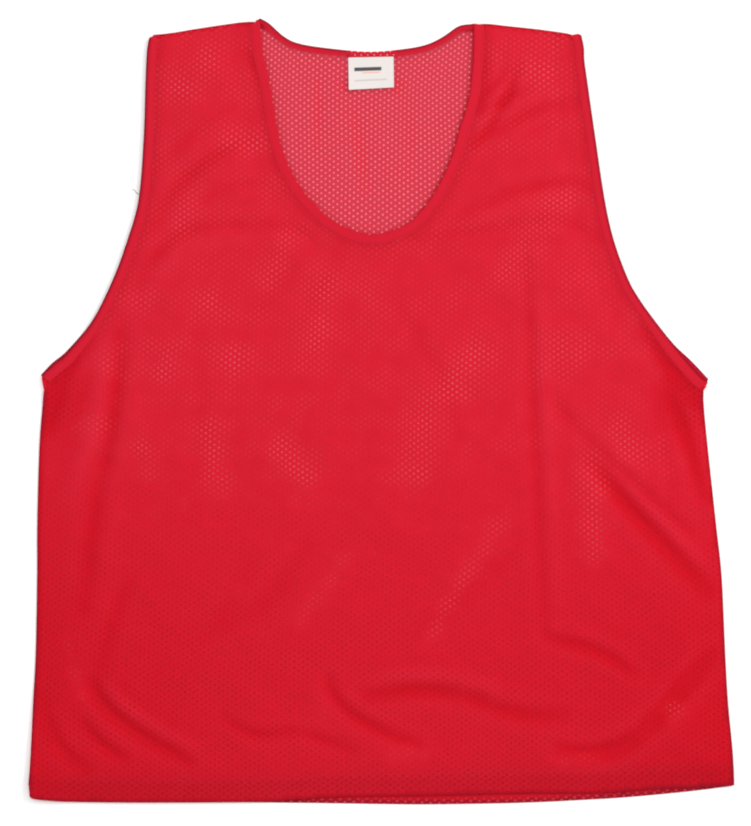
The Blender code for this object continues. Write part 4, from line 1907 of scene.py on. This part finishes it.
    def _add_fold(self, shape: Shape) -> None:
        """Adds the rounded fold that joins the panel to its turned-up hem.

        Args:
            shape: Receives it.
        """
        edge = self.plan.hem(self.layer)
        outer, inner = self._height(edge), self._hem_height(edge)
        turn = np.linspace(0.0, math.pi, self.fold_points)
        reach = self.hem_gap / 2.0
        out = -to_left(edge)
        rows = np.empty((len(edge), self.fold_points, 3))
        rows[:, :, :2] = edge[:, None, :] + out[:, None, :] * (np.sin(turn) * reach)[None, :, None]
        middle, half = (outer + inner) / 2.0, (outer - inner) / 2.0
        rows[:, :, 2] = middle[:, None] + half[:, None] * np.cos(turn)
        maps = self.lattice.flatten(rows[:, :, :2].reshape(-1, 2), self.layer)
        maps = maps / np.array([self.lattice.column, self.lattice.pitch])
        shape.add_strip(rows, maps.reshape(len(edge), self.fold_points, 2), tones=self.fold_tones)

    def build(self, finishes: Finishes) -> Piece:
        """Makes the panel.

        Args:
            finishes: The materials.

        Returns:
            The panel, which stands for its CAD node.
        """
        shape = Shape()
        outline, solid = self.plan.outline(self.layer), self._solid_edges()
        sheet = HoledCloth(self.lattice, self.layer, outline, self._height, self._tones, solid, seed=31)
        holes = sheet.build(shape)
        turned = replace(self.lattice, slip=self.hem_slip)
        hem = HoledCloth(turned, self.layer, self._hem_outline(), self._hem_height, self._tones, seed=32)
        holes += hem.build(shape)
        self._add_fold(shape)
        panel = shape.make(f"{self.layer.value}_mesh", finishes.knit)
        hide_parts(f"{self.layer.value}_panel")
        LOG.info("%s has %d holes", panel.name, holes)
        return panel


class Flap(Enum):
    """One side of a folded tape: its height from the tape's far side, at each step from its inner edge."""

    SEWN = (0.44, 0.58, 0.68, 0.67, 0.68, 0.76, 0.83, 0.86, 0.86)
    FLAT = (0.98, 0.98, 0.98, 0.98, 0.98, 0.98, 0.98, 0.98, 0.97)
    HOLLOW = (0.52, 0.52, 0.52, 0.52, 0.52, 0.53, 0.56, 0.64, 0.92)


@dataclass
class TapeRun:
    """A stretch of a tape's way, a row for each station."""

    SLANT_RUN = 12.0  # how far from an end its slant goes
    TUCK = 1.1  # how far a fold's middle is drawn inward, which rounds its corner
    FOLD_STEPS = 9

    place: Array  # on the folded edge
    inward: Array  # the way into the cloth
    outer: Array  # the way to the tape's outer side
    on_back: Array  # 0 on the front, 1 on the back
    # Painted shade on the side that faces the other layer, and along the folded edge.
    shade: Array
    rim: Array

    @classmethod
    def lying(
        cls,
        line: Array,
        layer: Layer,
        height: float,
        slant: Pair = (0.0, 0.0),
        shade: Amount = 0.0,
        rim: Amount = 1.0,
    ) -> "TapeRun":
        """A stretch along one layer's edge.

        Args:
            line: The edge, with the cloth on its left.
            layer: On the back, the tape's outer side looks down.
            height: The height of the tape's inner side.
            slant: How far its ends are cut aslant: at the start and at the end.
            shade: How much painted shade the side gets that faces the other layer, 0 to 1.
            rim: How much painted shade its folded edge gets, 0 to 1.

        Returns:
            The stretch, walked the same way.
        """
        count = len(line)
        level = np.zeros((count, 1))
        left = to_left(line)
        onward = np.column_stack([left[:, 1], -left[:, 0]])
        along = path_length(line)
        near_start = (1.0 - smooth_step(along / cls.SLANT_RUN)) * slant[0]
        near_end = (1.0 - smooth_step((along[-1] - along) / cls.SLANT_RUN)) * slant[1]
        inward = left + onward * (near_end - near_start)[:, None]
        up = 1.0 if layer is Layer.FRONT else -1.0
        outer = np.tile([0.0, 0.0, up], (count, 1))
        place = np.column_stack([line, np.full(count, height)])
        on_back = np.full(count, 0.0 if up > 0 else 1.0)
        painted_shading = (np.broadcast_to(shade, count), np.broadcast_to(rim, count))
        return cls(place, np.hstack([inward, level]), outer, on_back, *painted_shading)

    def turned(self) -> "TapeRun":
        """The same stretch, walked the other way."""
        return TapeRun(*(getattr(self, part)[::-1] for part in TAPE_RUN_PARTS))

    def folded_to(self, other: "TapeRun", outward: Array) -> "TapeRun":
        """The fold from this stretch's end to the other one's start, on the other layer.

        Args:
            other: The stretch that follows.
            outward: Roughly the way that the fold bulges, in plan.

        Returns:
            The fold's stations, without its two ends.
        """
        share = np.linspace(0.0, 1.0, self.FOLD_STEPS + 2)[1:-1, None]
        place = self.place[-1] * (1 - share) + other.place[0] * share
        inward = self.inward[-1] * (1 - share) + other.inward[0] * share
        axis = (self.inward[-1] + other.inward[0])[:2]
        out = np.array([axis[1], -axis[0]]) / np.linalg.norm(axis)
        out = np.append(out * np.sign(out @ outward), 0.0)
        turn = (0.5 - share) * math.pi * self.outer[-1, 2]
        outer = out * np.cos(turn) + UP * np.sin(turn)
        place = place + inward * self.TUCK * np.cos(turn) ** 2
        on_back = self.on_back[-1] * (1 - share) + other.on_back[0] * share
        shade = self.shade[-1] * (1 - share) + other.shade[0] * share
        rim = self.rim[-1] * (1 - share) + other.rim[0] * share
        return TapeRun(place, inward, outer, on_back[:, 0], shade[:, 0], rim[:, 0])

    @classmethod
    def joined(cls, runs: Sequence["TapeRun"]) -> "TapeRun":
        """All stretches one after another."""
        return cls(*(np.concatenate([getattr(run, part) for run in runs]) for part in TAPE_RUN_PARTS))

    def onward(self) -> Array:
        """The way along the tape at its end, in plan."""
        way = (self.place[-1] - self.place[-2])[:2]
        return way / np.linalg.norm(way)


TAPE_RUN_PARTS = ("place", "inward", "outer", "on_back", "shade", "rim")


@dataclass
class FoldedTape:
    """The binding of one opening: a tape folded over the cut edges, all round in one piece."""

    name: str
    nodes: tuple[str, ...]
    width: Pair  # on the front and on the back
    wall: Pair
    back_flap: Flap  # the side of the back stretch that looks up
    shaded_from: float  # where that side's shade starts, as a share of the width
    base: Pair = (1.9, 1.6)  # the heights of its inner side, on the front and on the back
    step: float = 1.7
    fold_room: float = 2.0  # how far a fold stands out from the last stations
    groove: float = 0.82  # where the stitches run, as a share of the width
    groove_height: float = 0.69
    across: Shares = (1.0, 0.985, 0.92, 0.87, 0.79, 0.72, 0.58, 0.40, 0.24)
    # The painted shade along the folded edge, and on the side that faces the other layer.
    rim_width: float = 1.6
    shade_run: float = 0.15  # how soft the start of the shade is, as a share of the width
    least_shade: float = 0.12  # what is left of it on the tape's other side
    map_slack: float = 0.2  # what each step along the tape adds to its map beyond its length
    ripple: float = 0.03  # how much its thickness changes along it
    ripple_waves: Place = (0.9, 1.3, 0.21)  # a wave's rate, and the swing and rate of another
    nose_points: int = 7

    def section(self, outer: Flap, inner: Flap) -> Array:
        """The tape's section: shares of its width, and of its thickness up from its inner side.

        Args:
            outer: The tape's outer side.
            inner: Its inner side.

        Returns:
            Rows of two shares, from the upper side round the nose to the lower one.
        """
        upper = np.column_stack([self.across, outer.value])
        lower = np.column_stack([self.across, 1.0 - np.array(inner.value)])[::-1]
        turn = np.linspace(1.0, -1.0, self.nose_points + 2)[1:-1] * math.pi / 2.0
        reach = self.across[-1]
        nose = np.column_stack([reach * (1.0 - np.cos(turn)), 0.5 + 0.5 * np.sin(turn)])
        return np.vstack([upper, nose, lower])

    def edge(self, line: Array) -> Array:
        """A finished edge at even steps, shorter at both ends by the room of its folds."""
        return evenly_spaced(line, self.step, self.fold_room)

    def build(self, way: TapeRun, finishes: Finishes, shut: bool) -> Piece:
        """Makes the tape.

        Args:
            way: All its stations.
            finishes: The materials.
            shut: Joins its end to its start.

        Returns:
            The tape, which stands for its CAD nodes.
        """
        front = self.section(Flap.SEWN, Flap.FLAT)
        back = self.section(Flap.FLAT, self.back_flap)
        share = way.on_back[:, None]
        loops = front * (1 - share[..., None]) + back * share[..., None]
        width = self.width[0] * (1 - share) + self.width[1] * share
        wall = self.wall[0] * (1 - share) + self.wall[1] * share
        steps = np.linalg.norm(np.diff(way.place, axis=0), axis=1) + self.map_slack
        along = np.concatenate([[0.0], np.cumsum(steps)])
        rate, swing, slow = self.ripple_waves
        ripple = 1.0 + self.ripple * np.sin(along * rate + swing * np.sin(along * slow))
        into = (loops[:, :, 0] * width)[..., None] * way.inward[:, None, :]
        out = (loops[:, :, 1] * wall * ripple[:, None])[..., None] * way.outer[:, None, :]
        rows = way.place[:, None, :] + into + out
        flat = front * np.array([width.max(), wall.max()])
        around = np.concatenate([[0.0], np.cumsum(np.linalg.norm(np.diff(flat, axis=0), axis=1))])
        maps = np.stack(np.broadcast_arrays(along[:, None], around[None, :]), axis=-1)
        # Painted shade on the side that faces the other layer, and along the folded edge.
        lower = np.arange(front.shape[0]) > len(self.across) + self.nose_points
        hidden = smooth_step((front[:, 0] - self.shaded_from) / self.shade_run + 0.5) * lower
        rim = way.rim[:, None] * np.exp(-((loops[:, :, 0] * width / self.rim_width) ** 2))
        dark = np.maximum(way.shade[:, None] * np.maximum(hidden, self.least_shade), rim)
        tones = np.stack([-dark, np.zeros_like(dark)], axis=-1)
        if shut:
            rows = np.concatenate([rows, rows[:1]])
            last = maps[-1:] + np.array([self.step, 0.0])
            maps = np.concatenate([maps, last])
            tones = np.concatenate([tones, tones[:1]])
        shape = Shape()
        shape.add_strip(rows, maps, round_shut=True, caps=not shut, tones=tones.reshape(-1, 2))
        tape = shape.make(self.name, finishes.tape)
        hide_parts(*self.nodes)
        return tape

    def stitch_line(self, run: TapeRun) -> Array:
        """Where the sewing thread lies on the side of a stretch that looks up.

        Args:
            run: A stretch without folds.

        Returns:
            Rows of x, y and z.
        """
        back = run.on_back[0] > 0.5
        width, wall = self.width[int(back)], self.wall[int(back)]
        height = 1.0 - self.groove_height if back else self.groove_height
        return run.place + run.inward * (self.groove * width) + run.outer * (height * wall)


@dataclass
class StitchRow:
    """Small stitches in a row."""

    length: float = 2.4
    gap: float = 0.9
    radius: float = 0.16
    sides: int = 5
    shares: Shares = (0.0, 0.12, 0.5, 0.88, 1.0)  # the places of its rings along a stitch
    swell: Shares = (0.25, 0.85, 1.0, 0.85, 0.25)
    rise: Shares = (-0.9, -0.15, 0.1, -0.15, -0.9)  # in radii

    def add(self, shape: Shape, route: Array) -> None:
        """Adds stitches along a route.

        Args:
            shape: Receives them.
            route: Rows of x, y and z, at the thread's middle.
        """
        along = path_length(route)
        for start in np.arange(self.gap, along[-1] - self.length, self.length + self.gap):
            at = start + np.array(self.shares) * self.length
            middle = np.column_stack([np.interp(at, along, route[:, k]) for k in range(3)])
            middle[:, 2] += np.array(self.rise) * self.radius
            forward = middle[-1, :2] - middle[0, :2]
            forward /= np.linalg.norm(forward)
            across = np.array([-forward[1], forward[0], 0.0])
            shape.add_thread(middle, across, at, self.radius * np.array(self.swell), self.sides)


@dataclass
class LooseThread:
    """A short end of thread that lies on the wearer's right armhole tape."""

    points: tuple[Place, ...] = (
        (-196.4, 175.2, 4.1),
        (-194.6, 174.6, 4.5),
        (-192.6, 172.4, 4.5),
        (-190.9, 171.3, 4.1),
    )
    step: float = 0.4
    radius: float = 0.24
    sides: int = 6

    def build(self, finishes: Finishes) -> Piece:
        """Makes the thread.

        Args:
            finishes: The materials.

        Returns:
            The thread.
        """
        route = smooth_curve(self.points, self.step)
        across = np.column_stack([to_left(route), np.zeros(len(route))])
        shape = Shape()
        shape.add_thread(route, across, path_length(route), self.radius, self.sides)
        return shape.make("loose_thread", finishes.loose_end)


@dataclass
class SewnEdge:
    """A side or shoulder seam: the edges of both panels turned in and closed in a soft double roll."""

    name: str
    line: Array
    laid: LaidCloth
    bulge: float = 0.55
    pinch: Pair = (0.45, 0.35)  # how deep the groove between the two rolls is, and how wide
    stretch: float = 0.8
    # Painted shade over the whole seam.
    dark: float = 0.8
    points: int = 11

    def build(self, finishes: Finishes) -> Piece:
        """Makes the seam between the two layers' edges.

        Args:
            finishes: The materials.

        Returns:
            The seam.
        """
        low = self.laid.height(Layer.BACK, self.line)
        high = self.laid.height(Layer.FRONT, self.line)
        out = -to_left(self.line)
        turn = np.linspace(-math.pi / 2.0, math.pi / 2.0, self.points)
        pinch = 1.0 - self.pinch[0] * np.exp(-((turn / self.pinch[1]) ** 2))
        reach = np.cos(turn) * self.bulge * pinch
        middle, half = (low + high) / 2.0, (high - low) / 2.0
        rows = np.empty((len(self.line), self.points, 3))
        rows[:, :, :2] = self.line[:, None, :] + out[:, None, :] * reach[None, :, None]
        rows[:, :, 2] = middle[:, None] + half[:, None] * np.sin(turn)
        around = (turn + math.pi / 2.0) * self.stretch
        maps = np.stack(np.broadcast_arrays(path_length(self.line)[:, None], around[None, :]), axis=-1)
        shape = Shape()
        shape.add_strip(rows, maps, tones=(-self.dark, 0.0))
        return shape.make(self.name, finishes.tape)


@dataclass
class NeckLabel:
    """The woven label, sewn in at its top. Its free lower edge curls up a little."""

    top_right: EdgePoint = EdgePoint(-25.6, 279.2)
    top_left: EdgePoint = EdgePoint(10.1, 279.9)
    bottom_right: EdgePoint = EdgePoint(-25.2, 253.6)
    bottom_left: EdgePoint = EdgePoint(10.4, 255.6)
    base: float = 1.5
    curl: float = 1.0
    corner_curl: float = 0.5
    wave: Place = (0.16, 0.9, 0.6)  # its height, its turns across the label, where it starts
    wall: float = 0.45
    columns: int = 40
    rows: int = 30

    def _surface(self) -> tuple[Array, Array]:
        """The label's lower face as a grid.

        Returns:
            Rows of points, and the map in millimetres from the lower right corner.
        """
        across = np.linspace(0.0, 1.0, self.columns)[None, :, None]
        down = np.linspace(0.0, 1.0, self.rows)[:, None, None]
        top = np.array(self.top_right) * (1 - across) + np.array(self.top_left) * across
        bottom = np.array(self.bottom_right) * (1 - across) + np.array(self.bottom_left) * across
        place = top * (1 - down) + bottom * down
        share, fall = across[..., 0], down[..., 0]
        lift = self.curl * fall**2 + self.corner_curl * fall**3 * (2.0 * share - 1.0) ** 2
        height, turns, start = self.wave
        wave = height * np.sin(share * math.tau * turns + start) * fall
        points = np.concatenate([place, (self.base + lift + wave)[..., None]], axis=-1)
        size = (self.top_left.x - self.top_right.x, self.top_left.y - self.bottom_left.y)
        return points, np.stack(np.broadcast_arrays(share * size[0], (1.0 - fall) * size[1]), axis=-1)

    @staticmethod
    def _around(grid: Array) -> Array:
        """A grid's outermost points, all the way round and back to the first."""
        return np.concatenate([grid[0], grid[1:, -1], grid[-1, -2::-1], grid[-2::-1, 0]])

    def build(self, finishes: Finishes) -> Piece:
        """Makes the label.

        Args:
            finishes: The materials.

        Returns:
            The label, which stands for its CAD node.
        """
        lower, maps = self._surface()
        upper = lower + UP * self.wall
        shape = Shape()
        shape.add_strip(upper[::-1], maps[::-1])
        shape.add_strip(lower, maps)
        edge_maps = self._around(maps)
        edge = np.stack([self._around(lower), self._around(upper)], axis=1)
        shape.add_strip(edge, np.stack([edge_maps, edge_maps], axis=1))
        label = shape.make("woven_label", finishes.label)
        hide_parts("neck_label")
        return label


@dataclass
class NeckFold:
    """The turned edge of the back between the tape's ends, above the label. Its fold cuts a row of holes."""

    plan: Plan
    lattice: Lattice = Lattice(
        column=2.54, pitch=5.0, hole=0.72, lean=0.0, fan=0.0, slack=0.0, wander=0.0, apart=0.0, drift=0.0
    )
    height: float = 6.4
    level: float = 1.5
    wall: float = 0.7
    nick: float = 0.62
    nick_depth: float = 0.75
    nick_bottom: float = 0.6  # half of its width at its bottom, as a share of that at its top
    nick_room: float = 2.0  # between a nick and the fold's ends
    edge_room: float = 0.2
    overlap: float = 1.6  # how far it reaches under each end of the tape
    row_at: float = -8.0  # where the row of holes is measured from, and how far it is below the neckline
    row_below: float = 2.5

    def _outline(self) -> Array:
        """The fold seen from above: a level lower edge, and nicks in the upper one.

        Returns:
            Rows of x and y.
        """
        neckline = self.plan.neckline()
        right, left = self.plan.label_right - self.overlap, self.plan.label_left + self.overlap
        pitch = 2.0 * self.lattice.column
        upper = [(left, 0.0)]
        nicks = np.arange(math.floor(left / pitch), math.ceil(right / pitch) - 1, -1) * pitch + pitch / 2.0
        bottom = self.nick * self.nick_bottom
        for x in nicks[(nicks < left - self.nick_room) & (nicks > right + self.nick_room)]:
            upper += [(x + self.nick, 0.0), (x + bottom, -self.nick_depth)]
            upper += [(x - bottom, -self.nick_depth), (x - self.nick, 0.0)]
        upper.append((right, 0.0))
        edge = np.array(upper)
        edge[:, 1] += np.interp(edge[:, 0], neckline[::-1, 0], neckline[::-1, 1])
        middle = ((right + left) / 2.0, self._bottom(0.0))
        return np.vstack([edge, (right, self._bottom(right)), middle, (left, self._bottom(left))])

    def _bottom(self, x: float) -> float:
        """The height in plan of the fold's lower edge."""
        neckline = self.plan.neckline()
        return float(np.interp(x, neckline[::-1, 0], neckline[::-1, 1])) - self.height

    def build(self, finishes: Finishes) -> Piece:
        """Makes the fold.

        Args:
            finishes: The materials.

        Returns:
            The fold.
        """
        shape = Shape()
        cloth = HoledCloth(
            self.lattice,
            Layer.BACK,
            self._outline(),
            height=lambda points: np.full(len(points), self.level),
            tones=lambda points: np.zeros((len(points), 2)),
            edge_room=self.edge_room,
            origin=(0.0, self._bottom(self.row_at) + self.height - self.row_below),
            seed=41,
        )
        holes = cloth.build(shape)
        fold = shape.make("neck_fold", finishes.knit)
        thick = fold.modifiers.new("wall", "SOLIDIFY")
        thick.thickness = self.wall * MM
        LOG.info("neck_fold has %d holes", holes)
        return fold


@dataclass
class Bib:
    """The whole bib, built piece by piece on one plan."""

    plan: Plan = field(default_factory=Plan)
    lattice: Lattice = field(default_factory=Lattice)
    neck_width: Pair = (7.9, 6.5)
    armhole_width: Pair = (7.3, 7.3)
    wall: Pair = (2.0, 1.6)
    shaded_from: Pair = (0.34, 0.5)  # for the tape of the armholes and of the neck
    # Painted shade on the tape: along its folded edge, less of it where the back's tape shows beyond the
    # front's, and inside the fold near the armpits and near the neck's corners.
    armhole_rim: Pair = (1.6, 2.0)  # how wide the tape's dark edge is, on the left and the right
    rim_fade: Pair = (0.8, 2.2)  # how it fades where the back's tape shows, and over what width
    neck_rim: float = 0.1
    armpit_slant: float = -0.3
    armpit_shade: float = 32.0  # how far up from the armpit the tape's fold is dark inside
    armpit_dark: Pair = (0.45, 0.2)  # how dark, on the left and the right
    corner_shade: float = 13.0  # and how far from the neck's corners the back tape is
    corner_dark: Pair = (0.35, 1.0)
    stitch_lift: float = 0.08

    def __post_init__(self) -> None:
        """Works out how the cloth lies and makes the materials."""
        self.laid = LaidCloth(self.plan)
        self.finishes = Finishes(self.lattice)

    def armhole_tape(self, side: Side) -> tuple[Piece, list[Array]]:
        """The tape round one armhole.

        Args:
            side: Which armhole.

        Returns:
            The tape and the lines of its stitches.
        """
        word, which = side.name.lower(), 0 if side is Side.LEFT else 1
        nodes = tuple(f"armhole_binding_{word}_{layer.value}" for layer in Layer)
        name, shaded_from = f"armhole_tape_{word}", self.shaded_from[0]
        tape = FoldedTape(name, nodes, self.armhole_width, self.wall, Flap.HOLLOW, shaded_from)
        tape.rim_width = self.armhole_rim[which]
        slant = (self.armpit_slant, 0.0) if side is Side.LEFT else (0.0, self.armpit_slant)
        edge = tape.edge(self.plan.armhole(side, Layer.BACK))
        front_edge = tape.edge(self.plan.armhole(side, Layer.FRONT))
        # Painted shade along the front tape's folded edge, less where the back's tape shows beyond it.
        rim = 1.0 - self.rim_fade[0] * smooth_step(distance_to_line(front_edge, edge) / self.rim_fade[1])
        front = TapeRun.lying(front_edge, Layer.FRONT, tape.base[0], slant, rim=rim)
        from_armpit = path_length(edge) if side is Side.LEFT else path_length(edge[::-1])[::-1]
        # Painted shade inside the fold near the armpit.
        shade = (1.0 - smooth_step(from_armpit / self.armpit_shade - 0.5)) * self.armpit_dark[which]
        back = TapeRun.lying(edge, Layer.BACK, tape.base[1], slant, shade).turned()
        over = front.folded_to(back, front.onward())
        under = back.folded_to(front, back.onward())
        way = TapeRun.joined([front, over, back, under])
        return tape.build(way, self.finishes, shut=True), [tape.stitch_line(front)]

    def neck_tape(self) -> tuple[Piece, list[Array]]:
        """The tape round the neck, from one side of the label to the other.

        Returns:
            The tape and the lines of its stitches.
        """
        nodes = ("neck_binding_front", "neck_binding_back_left", "neck_binding_back_right")
        tape = FoldedTape("neck_tape", nodes, self.neck_width, self.wall, Flap.SEWN, self.shaded_from[1])
        neckline = tape.edge(self.plan.neckline())
        front = TapeRun.lying(tape.edge(self.plan.scoop()), Layer.FRONT, tape.base[0], rim=self.neck_rim)
        from_end = np.minimum(path_length(neckline), path_length(neckline[::-1])[::-1])
        # Painted shade on the back tape near the neck's corners.
        shade = 1.0 - smooth_step(from_end / self.corner_shade)
        shade = shade * np.where(neckline[:, 0] > 0.0, *self.corner_dark)
        sides = (neckline[:, 0] > self.plan.label_left, neckline[:, 0] < self.plan.label_right)
        left, right = (
            TapeRun.lying(neckline[at], Layer.BACK, tape.base[1], shade=shade[at]).turned() for at in sides
        )
        first = left.folded_to(front, left.onward())
        second = front.folded_to(right, front.onward())
        made = tape.build(TapeRun.joined([left, first, front, second, right]), self.finishes, shut=False)
        return made, [tape.stitch_line(run) for run in (left, front, right)]

    def stitches(self, name: str, routes: Sequence[Array]) -> Piece:
        """Sewing thread along some lines, as one piece.

        Args:
            name: The piece's name.
            routes: Rows of x, y and z.

        Returns:
            The thread.
        """
        shape = Shape()
        for route in routes:
            StitchRow().add(shape, route)
        return shape.make(name, self.finishes.thread)

    def hem_stitches(self) -> Piece:
        """The row of stitches that holds the front's hem.

        Returns:
            The thread.
        """
        line = self.plan.hem(Layer.FRONT)[2:-2] + np.array([0.0, self.laid.hem_height])
        level = self.laid.height(Layer.FRONT, line) + self.stitch_lift
        return self.stitches("hem_stitches", [np.column_stack([line, level])])

    def seams(self) -> list[Piece]:
        """The side and shoulder seams.

        Returns:
            All four.
        """
        made = []
        for side in Side:
            for kind, line in (("side", self.plan.side(side)), ("shoulder", self.plan.shoulder(side))):
                name = f"{kind}_seam_{side.name.lower()}"
                made.append(SewnEdge(name, line, self.laid).build(self.finishes))
        return made

    def declare(self, layer: Layer) -> None:
        """Works out one panel's flat size and its area, with its hem; nothing is done with them.

        Args:
            layer: Which of the two it is.
        """
        outline = self.plan.outline(layer)
        width, length = np.ptp(outline, axis=0) * MM
        edge = closed(outline)
        cut = abs(np.sum(edge[:-1, 0] * edge[1:, 1] - edge[1:, 0] * edge[:-1, 1])) / 2.0 * MM * MM
        hem = self.laid.hem_height * MM
        flat, area = (float(width), float(length + hem)), float(cut + hem * width)

    def build(self) -> None:
        back = MeshPanel(Layer.BACK, self.plan, self.laid, self.lattice).build(self.finishes)
        front = MeshPanel(Layer.FRONT, self.plan, self.laid, self.lattice).build(self.finishes)
        on_front, armhole_routes = [], []
        for side in Side:
            tape, routes = self.armhole_tape(side)
            on_front.append(tape)
            armhole_routes += routes
        neck, neck_routes = self.neck_tape()
        on_front += [
            neck,
            self.stitches("armhole_stitches", armhole_routes),
            self.stitches("neck_stitches", neck_routes),
            self.hem_stitches(),
            LooseThread().build(self.finishes),
            *self.seams(),
        ]
        on_back = [NeckFold(self.plan).build(self.finishes), NeckLabel().build(self.finishes)]
        self.declare(Layer.BACK)
        self.declare(Layer.FRONT)


class Lamp(NamedTuple):
    """A square area lamp that looks at the bib."""

    name: str
    power: float
    size: float
    place: Place


@dataclass
class Studio:
    """The white surface, the soft light from the upper right, and the camera straight above."""

    distance: float = 2.4469
    lens: float = 135.0
    sensor: float = 36.0
    aim: Pair = (-0.00415, -0.00138)
    floor_side: float = 6.0
    sky: float = 0.92
    lamps: tuple[Lamp, ...] = (
        Lamp("key", 72.0, 1.4, (2.72, 1.44, 2.16)),
        Lamp("overhead", 12.0, 0.5, (0.15, 0.55, 2.5)),
    )
    filter_width: float = 2.1

    def _floor(self, finishes: Finishes) -> None:
        """The surface that the bib lies on.

        Args:
            finishes: The materials.
        """
        mesh = bpy.data.meshes.new("surface")
        half = self.floor_side / 2.0
        corners = [(-half, -half, 0), (half, -half, 0), (half, half, 0), (-half, half, 0)]
        mesh.from_pydata(corners, [], [(0, 1, 2, 3)])
        mesh.materials.append(finishes.floor)
        floor = bpy.data.objects.new("surface", mesh)
        bpy.context.scene.collection.objects.link(floor)

    def _lights(self) -> None:
        """An even white sky and the lamps."""
        world = bpy.data.worlds.new("soft_sky")
        world.use_nodes = True
        sky = world.node_tree.nodes["Background"]
        sky.inputs["Color"].default_value = (1.0,) * 4
        sky.inputs["Strength"].default_value = self.sky
        bpy.context.scene.world = world
        for lamp in self.lamps:
            data = bpy.data.lights.new(lamp.name, "AREA")
            data.energy = lamp.power
            data.size = lamp.size
            light = bpy.data.objects.new(lamp.name, data)
            light.location = lamp.place
            light.rotation_euler = (-Vector(lamp.place)).to_track_quat("-Z", "Y").to_euler()
            bpy.context.scene.collection.objects.link(light)

    def _camera(self) -> None:
        """A long lens straight above, with the neck at the top of the picture."""
        data = bpy.data.cameras.new("overhead")
        data.lens = self.lens
        data.sensor_fit = "VERTICAL"
        data.sensor_width = self.sensor
        data.sensor_height = self.sensor
        data.clip_end = 20.0
        camera = bpy.data.objects.new("overhead", data)
        camera.location = (*self.aim, self.distance)
        bpy.context.scene.collection.objects.link(camera)
        bpy.context.scene.camera = camera

    def build(self, finishes: Finishes) -> None:
        """Makes the surface, the lights and the camera.

        Args:
            finishes: The materials.
        """
        self._floor(finishes)
        self._lights()
        self._camera()
        bpy.context.scene.view_settings.view_transform = "Standard"
        bpy.context.scene.cycles.filter_width = self.filter_width


def main() -> None:
    """Builds the bib and its studio."""
    logging.basicConfig(level=logging.INFO, format="%(message)s")
    bib = Bib()
    bib.build()
    Studio().build(bib.finishes)


if __name__ == "__main__":
    main()
